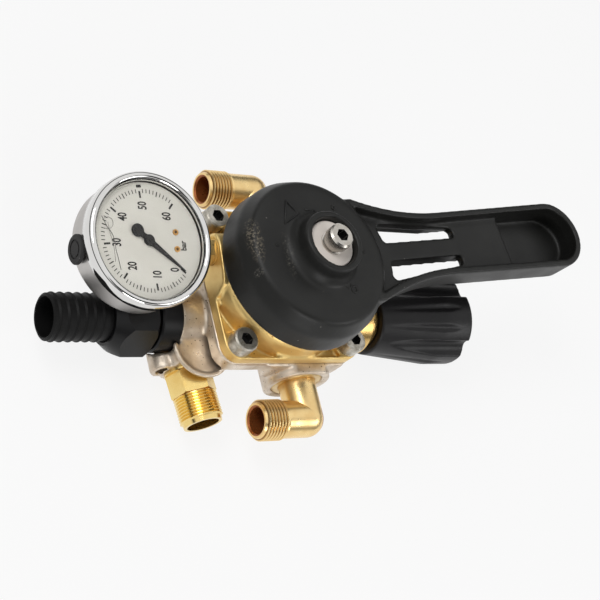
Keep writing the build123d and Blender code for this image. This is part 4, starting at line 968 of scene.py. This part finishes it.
def smooth_path(path, steps=40):
    """Cubic interpolation (Catmull-Rom) through points given in millimetres."""
    path = np.array(path) / 1000
    places = np.linspace(0, len(path) - 1, steps)
    first = np.clip(places.astype(int), 0, len(path) - 2)
    part = (places - first)[:, None]
    p0, p1 = path[np.maximum(first - 1, 0)], path[first]
    p2, p3 = path[first + 1], path[np.minimum(first + 2, len(path) - 1)]
    return 0.5 * (2 * p1 + (p2 - p0) * part + (2 * p0 - 5 * p1 + 4 * p2 - p3) * part**2
                  + (3 * p1 - p0 - 3 * p2 + p3) * part**3)


# Each line's points on the dial as (along, across) in millimetres, and its bead's radius.
liquid_paths = [
    ([(24.0, 10.8), (21.9, 6.1), (19.6, 2.8), (18.4, -0.9), (18.1, -5.2), (17.4, -9.0), (16.5, -14.7)],
     0.00013),
    ([(23.6, 9.3), (20.9, 10.4), (18.7, 9.1), (18.7, 6.2), (21.0, 4.7), (23.6, 5.0)], 0.0001),
    ([(21.1, 8.0), (20.6, 3.3), (19.5, -1.5), (19.0, -6.2), (19.0, -11.0)], 0.00008),
]
tubes = []
for path, radius in liquid_paths:
    flat = smooth_path(path)
    tubes.append(bead(on_dial(flat[:, 0], flat[:, 1], BEAD_LIFT), GAUGE_OUT, radius))
liquid_lines = new_piece("liquid_lines", *merged(tubes))
finish_piece(liquid_lines, "housing", grey_line)

# %% [markdown]
# The lever carries small raised marks: a triangle, a short bar, a double loop
# and a few dots. Each is a rounded bead along a path on the dome's flat top.

# %% Marks on the lever
PLATEAU = 0.0891


def circle_path(x, y, radius, steps=14):
    """Points of a circle, for a closed bead."""
    turn = np.linspace(0, 2 * math.pi, steps, endpoint=False)
    return np.stack([x + radius * np.cos(turn), y + radius * np.sin(turn)], 1)


# Each mark's path in millimetres, its bead's radius, and whether it is closed.
triangle = [(-14.5, 26.4), (-16.6, 20.1), (-18.7, 13.8), (-13.7, 16.9), (-8.7, 19.9), (-11.6, 23.2)]
short_bar = [(-4.2, 22.2), (-1.2, 22.3), (1.9, 22.0)]
marks = [
    (triangle, 0.0007, True),
    (short_bar, 0.0006, False),
    (circle_path(14.4, 24.7, 1.0), 0.0006, True),
    (circle_path(-26.4, 2.0, 0.5), 0.0005, True),
    (circle_path(26.3, 1.0, 0.7), 0.0006, True),
    (circle_path(-19.5, -12.1, 0.5), 0.0004, True),
    (circle_path(10.6, -18.2, 1.7), 0.0006, True),
    (circle_path(13.9, -20.4, 1.7), 0.0006, True),
]
beads = []
for path, radius, closed in marks:
    lifted = np.column_stack([np.asarray(path) / 1000, np.full(len(path), PLATEAU)])
    beads.append(bead(lifted, (0, 0, 1), radius, closed))
lever_marks = new_piece("lever_marks", *merged(beads))
finish_piece(lever_marks, "lever_group", lever_black)

# %% [markdown]
# The floor is a wide pale disk. For the camera, mirrors and glass it glows
# most of the way to white, so that the object's shadow stays on it but is faint.

# %% Floor
FLOOR_RADIUS, FLOOR_LEVEL, FLOOR_SIDES = 6, -0.0002, 96
FLOOR_GLOW = 0.85
ring = np.linspace(0, 2 * math.pi, FLOOR_SIDES, endpoint=False)
rim_points = np.stack(
    [FLOOR_RADIUS * np.cos(ring), FLOOR_RADIUS * np.sin(ring), np.full(FLOOR_SIDES, FLOOR_LEVEL)], 1
)
floor_points = np.vstack([rim_points, [[0, 0, FLOOR_LEVEL]]])
floor_faces = [(side, (side + 1) % FLOOR_SIDES, FLOOR_SIDES) for side in range(FLOOR_SIDES)]
floor = new_piece("floor", floor_points, floor_faces, smooth=False)
floor_paper = bpy.data.materials.new("floor paper")
floor_paper.use_nodes = True
paper_tree = floor_paper.node_tree
paper_shader = paper_tree.nodes["Principled BSDF"]
paper_shader.inputs["Base Color"].default_value = (0.9, 0.9, 0.9, 1)
paper_shader.inputs["Roughness"].default_value = 0.9
paper_rays = paper_tree.nodes.new("ShaderNodeLightPath")
mirror_or_glass = math_node(
    paper_tree, "MAXIMUM", paper_rays.outputs["Is Glossy Ray"], paper_rays.outputs["Is Transmission Ray"]
)
seen = math_node(paper_tree, "MAXIMUM", paper_rays.outputs["Is Camera Ray"], mirror_or_glass)
paper_glow = paper_tree.nodes.new("ShaderNodeEmission")
glow_share = math_node(paper_tree, "MULTIPLY", seen, FLOOR_GLOW)
glowing = mix_shaders(paper_tree, glow_share, paper_shader.outputs[0], paper_glow.outputs[0])
paper_tree.links.new(glowing, paper_tree.nodes["Material Output"].inputs["Surface"])
floor.data.materials.append(floor_paper)
print("floor ready")

# %% [markdown]
# The room is bright to the camera and to glass, and lights the object less
# brightly. To mirrors it is pale with a dark band a little above the horizon
# and four dark cards, so that metal has contrast.

# %% World
BAND_LEVEL, BAND_SLOPE, BAND_OFFSET = 0.14, 7.0, -0.6
MIRROR_DARK, MIRROR_PALE = (0.03, 0.03, 0.03, 1), (0.95, 0.95, 0.95, 1)
LIT_STRENGTH = 0.42
# Each card's direction, and the cosines to it at its outer edge and where it is fully dark.
DARK_CARDS = [
    ((0.59, -0.49, 0.64), 0.93, 0.97),
    ((0.2, -0.69, 0.69), 0.94, 0.975),
    ((-0.2, -0.79, 0.58), 0.94, 0.975),
    ((0.75, 0.62, 0.2), 0.9, 0.955),
]
world = bpy.data.worlds.new("room")
scene.world = world
world.use_nodes = True
room = world.node_tree
room.nodes.clear()


def background(strength=1.0):
    """A Background node of this strength in the room."""
    node = room.nodes.new("ShaderNodeBackground")
    node.inputs["Strength"].default_value = strength
    return node


rays = room.nodes.new("ShaderNodeLightPath").outputs
direction = room.nodes.new("ShaderNodeTexCoord").outputs["Generated"]
from_band = math_node(room, "ABSOLUTE", math_node(room, "SUBTRACT", split(room, direction)[2], BAND_LEVEL))
paleness = math_node(room, "MULTIPLY_ADD", from_band, BAND_SLOPE, BAND_OFFSET, clamp=True)
for card, edge, full in DARK_CARDS:
    cosine = vector_math(room, "DOT_PRODUCT", direction, card).outputs["Value"]
    outside = math_node(room, "MULTIPLY_ADD", cosine, -1 / (full - edge), full / (full - edge), clamp=True)
    paleness = math_node(room, "MULTIPLY", paleness, outside)
mirrored = background()
room.links.new(mix_colour(room, paleness, MIRROR_DARK, MIRROR_PALE), mirrored.inputs["Color"])
unseen = mix_shaders(room, rays["Is Glossy Ray"], background(LIT_STRENGTH).outputs[0], mirrored.outputs[0])
camera_or_glass = math_node(room, "MAXIMUM", rays["Is Camera Ray"], rays["Is Transmission Ray"])
room_out = room.nodes.new("ShaderNodeOutputWorld")
room.links.new(mix_shaders(room, camera_or_glass, unseen, background().outputs[0]), room_out.inputs[0])
print("world ready")

# %% [markdown]
# Three soft lamps: a strong one above the gauge's side, a weaker one on the
# knob's side, and a low one in front.

# %% Lamps
def soft_lamp(name, place, target, width, height, watts):
    """A rectangular area lamp at place that faces target."""
    data = bpy.data.lights.new(name, "AREA")
    data.shape = "RECTANGLE"
    data.size, data.size_y, data.energy = width, height, watts
    lamp = bpy.data.objects.new(name, data)
    scene.collection.objects.link(lamp)
    back = (Vector(place) - Vector(target)).normalized()
    lamp.matrix_world = Matrix.Translation(place) @ back.to_track_quat("Z", "Y").to_matrix().to_4x4()


soft_lamp("key lamp", (-0.75, 0.35, 1.15), (0, 0, 0.05), 0.7, 0.5, 6.2)
soft_lamp("side lamp", (0.9, -0.75, 0.75), (0.05, 0, 0.05), 0.6, 0.5, 3.4)
soft_lamp("front lamp", (-0.1, -1.2, 0.4), (0, 0, 0.05), 0.6, 0.35, 3.4)
print("lamps:", len(bpy.data.lights))
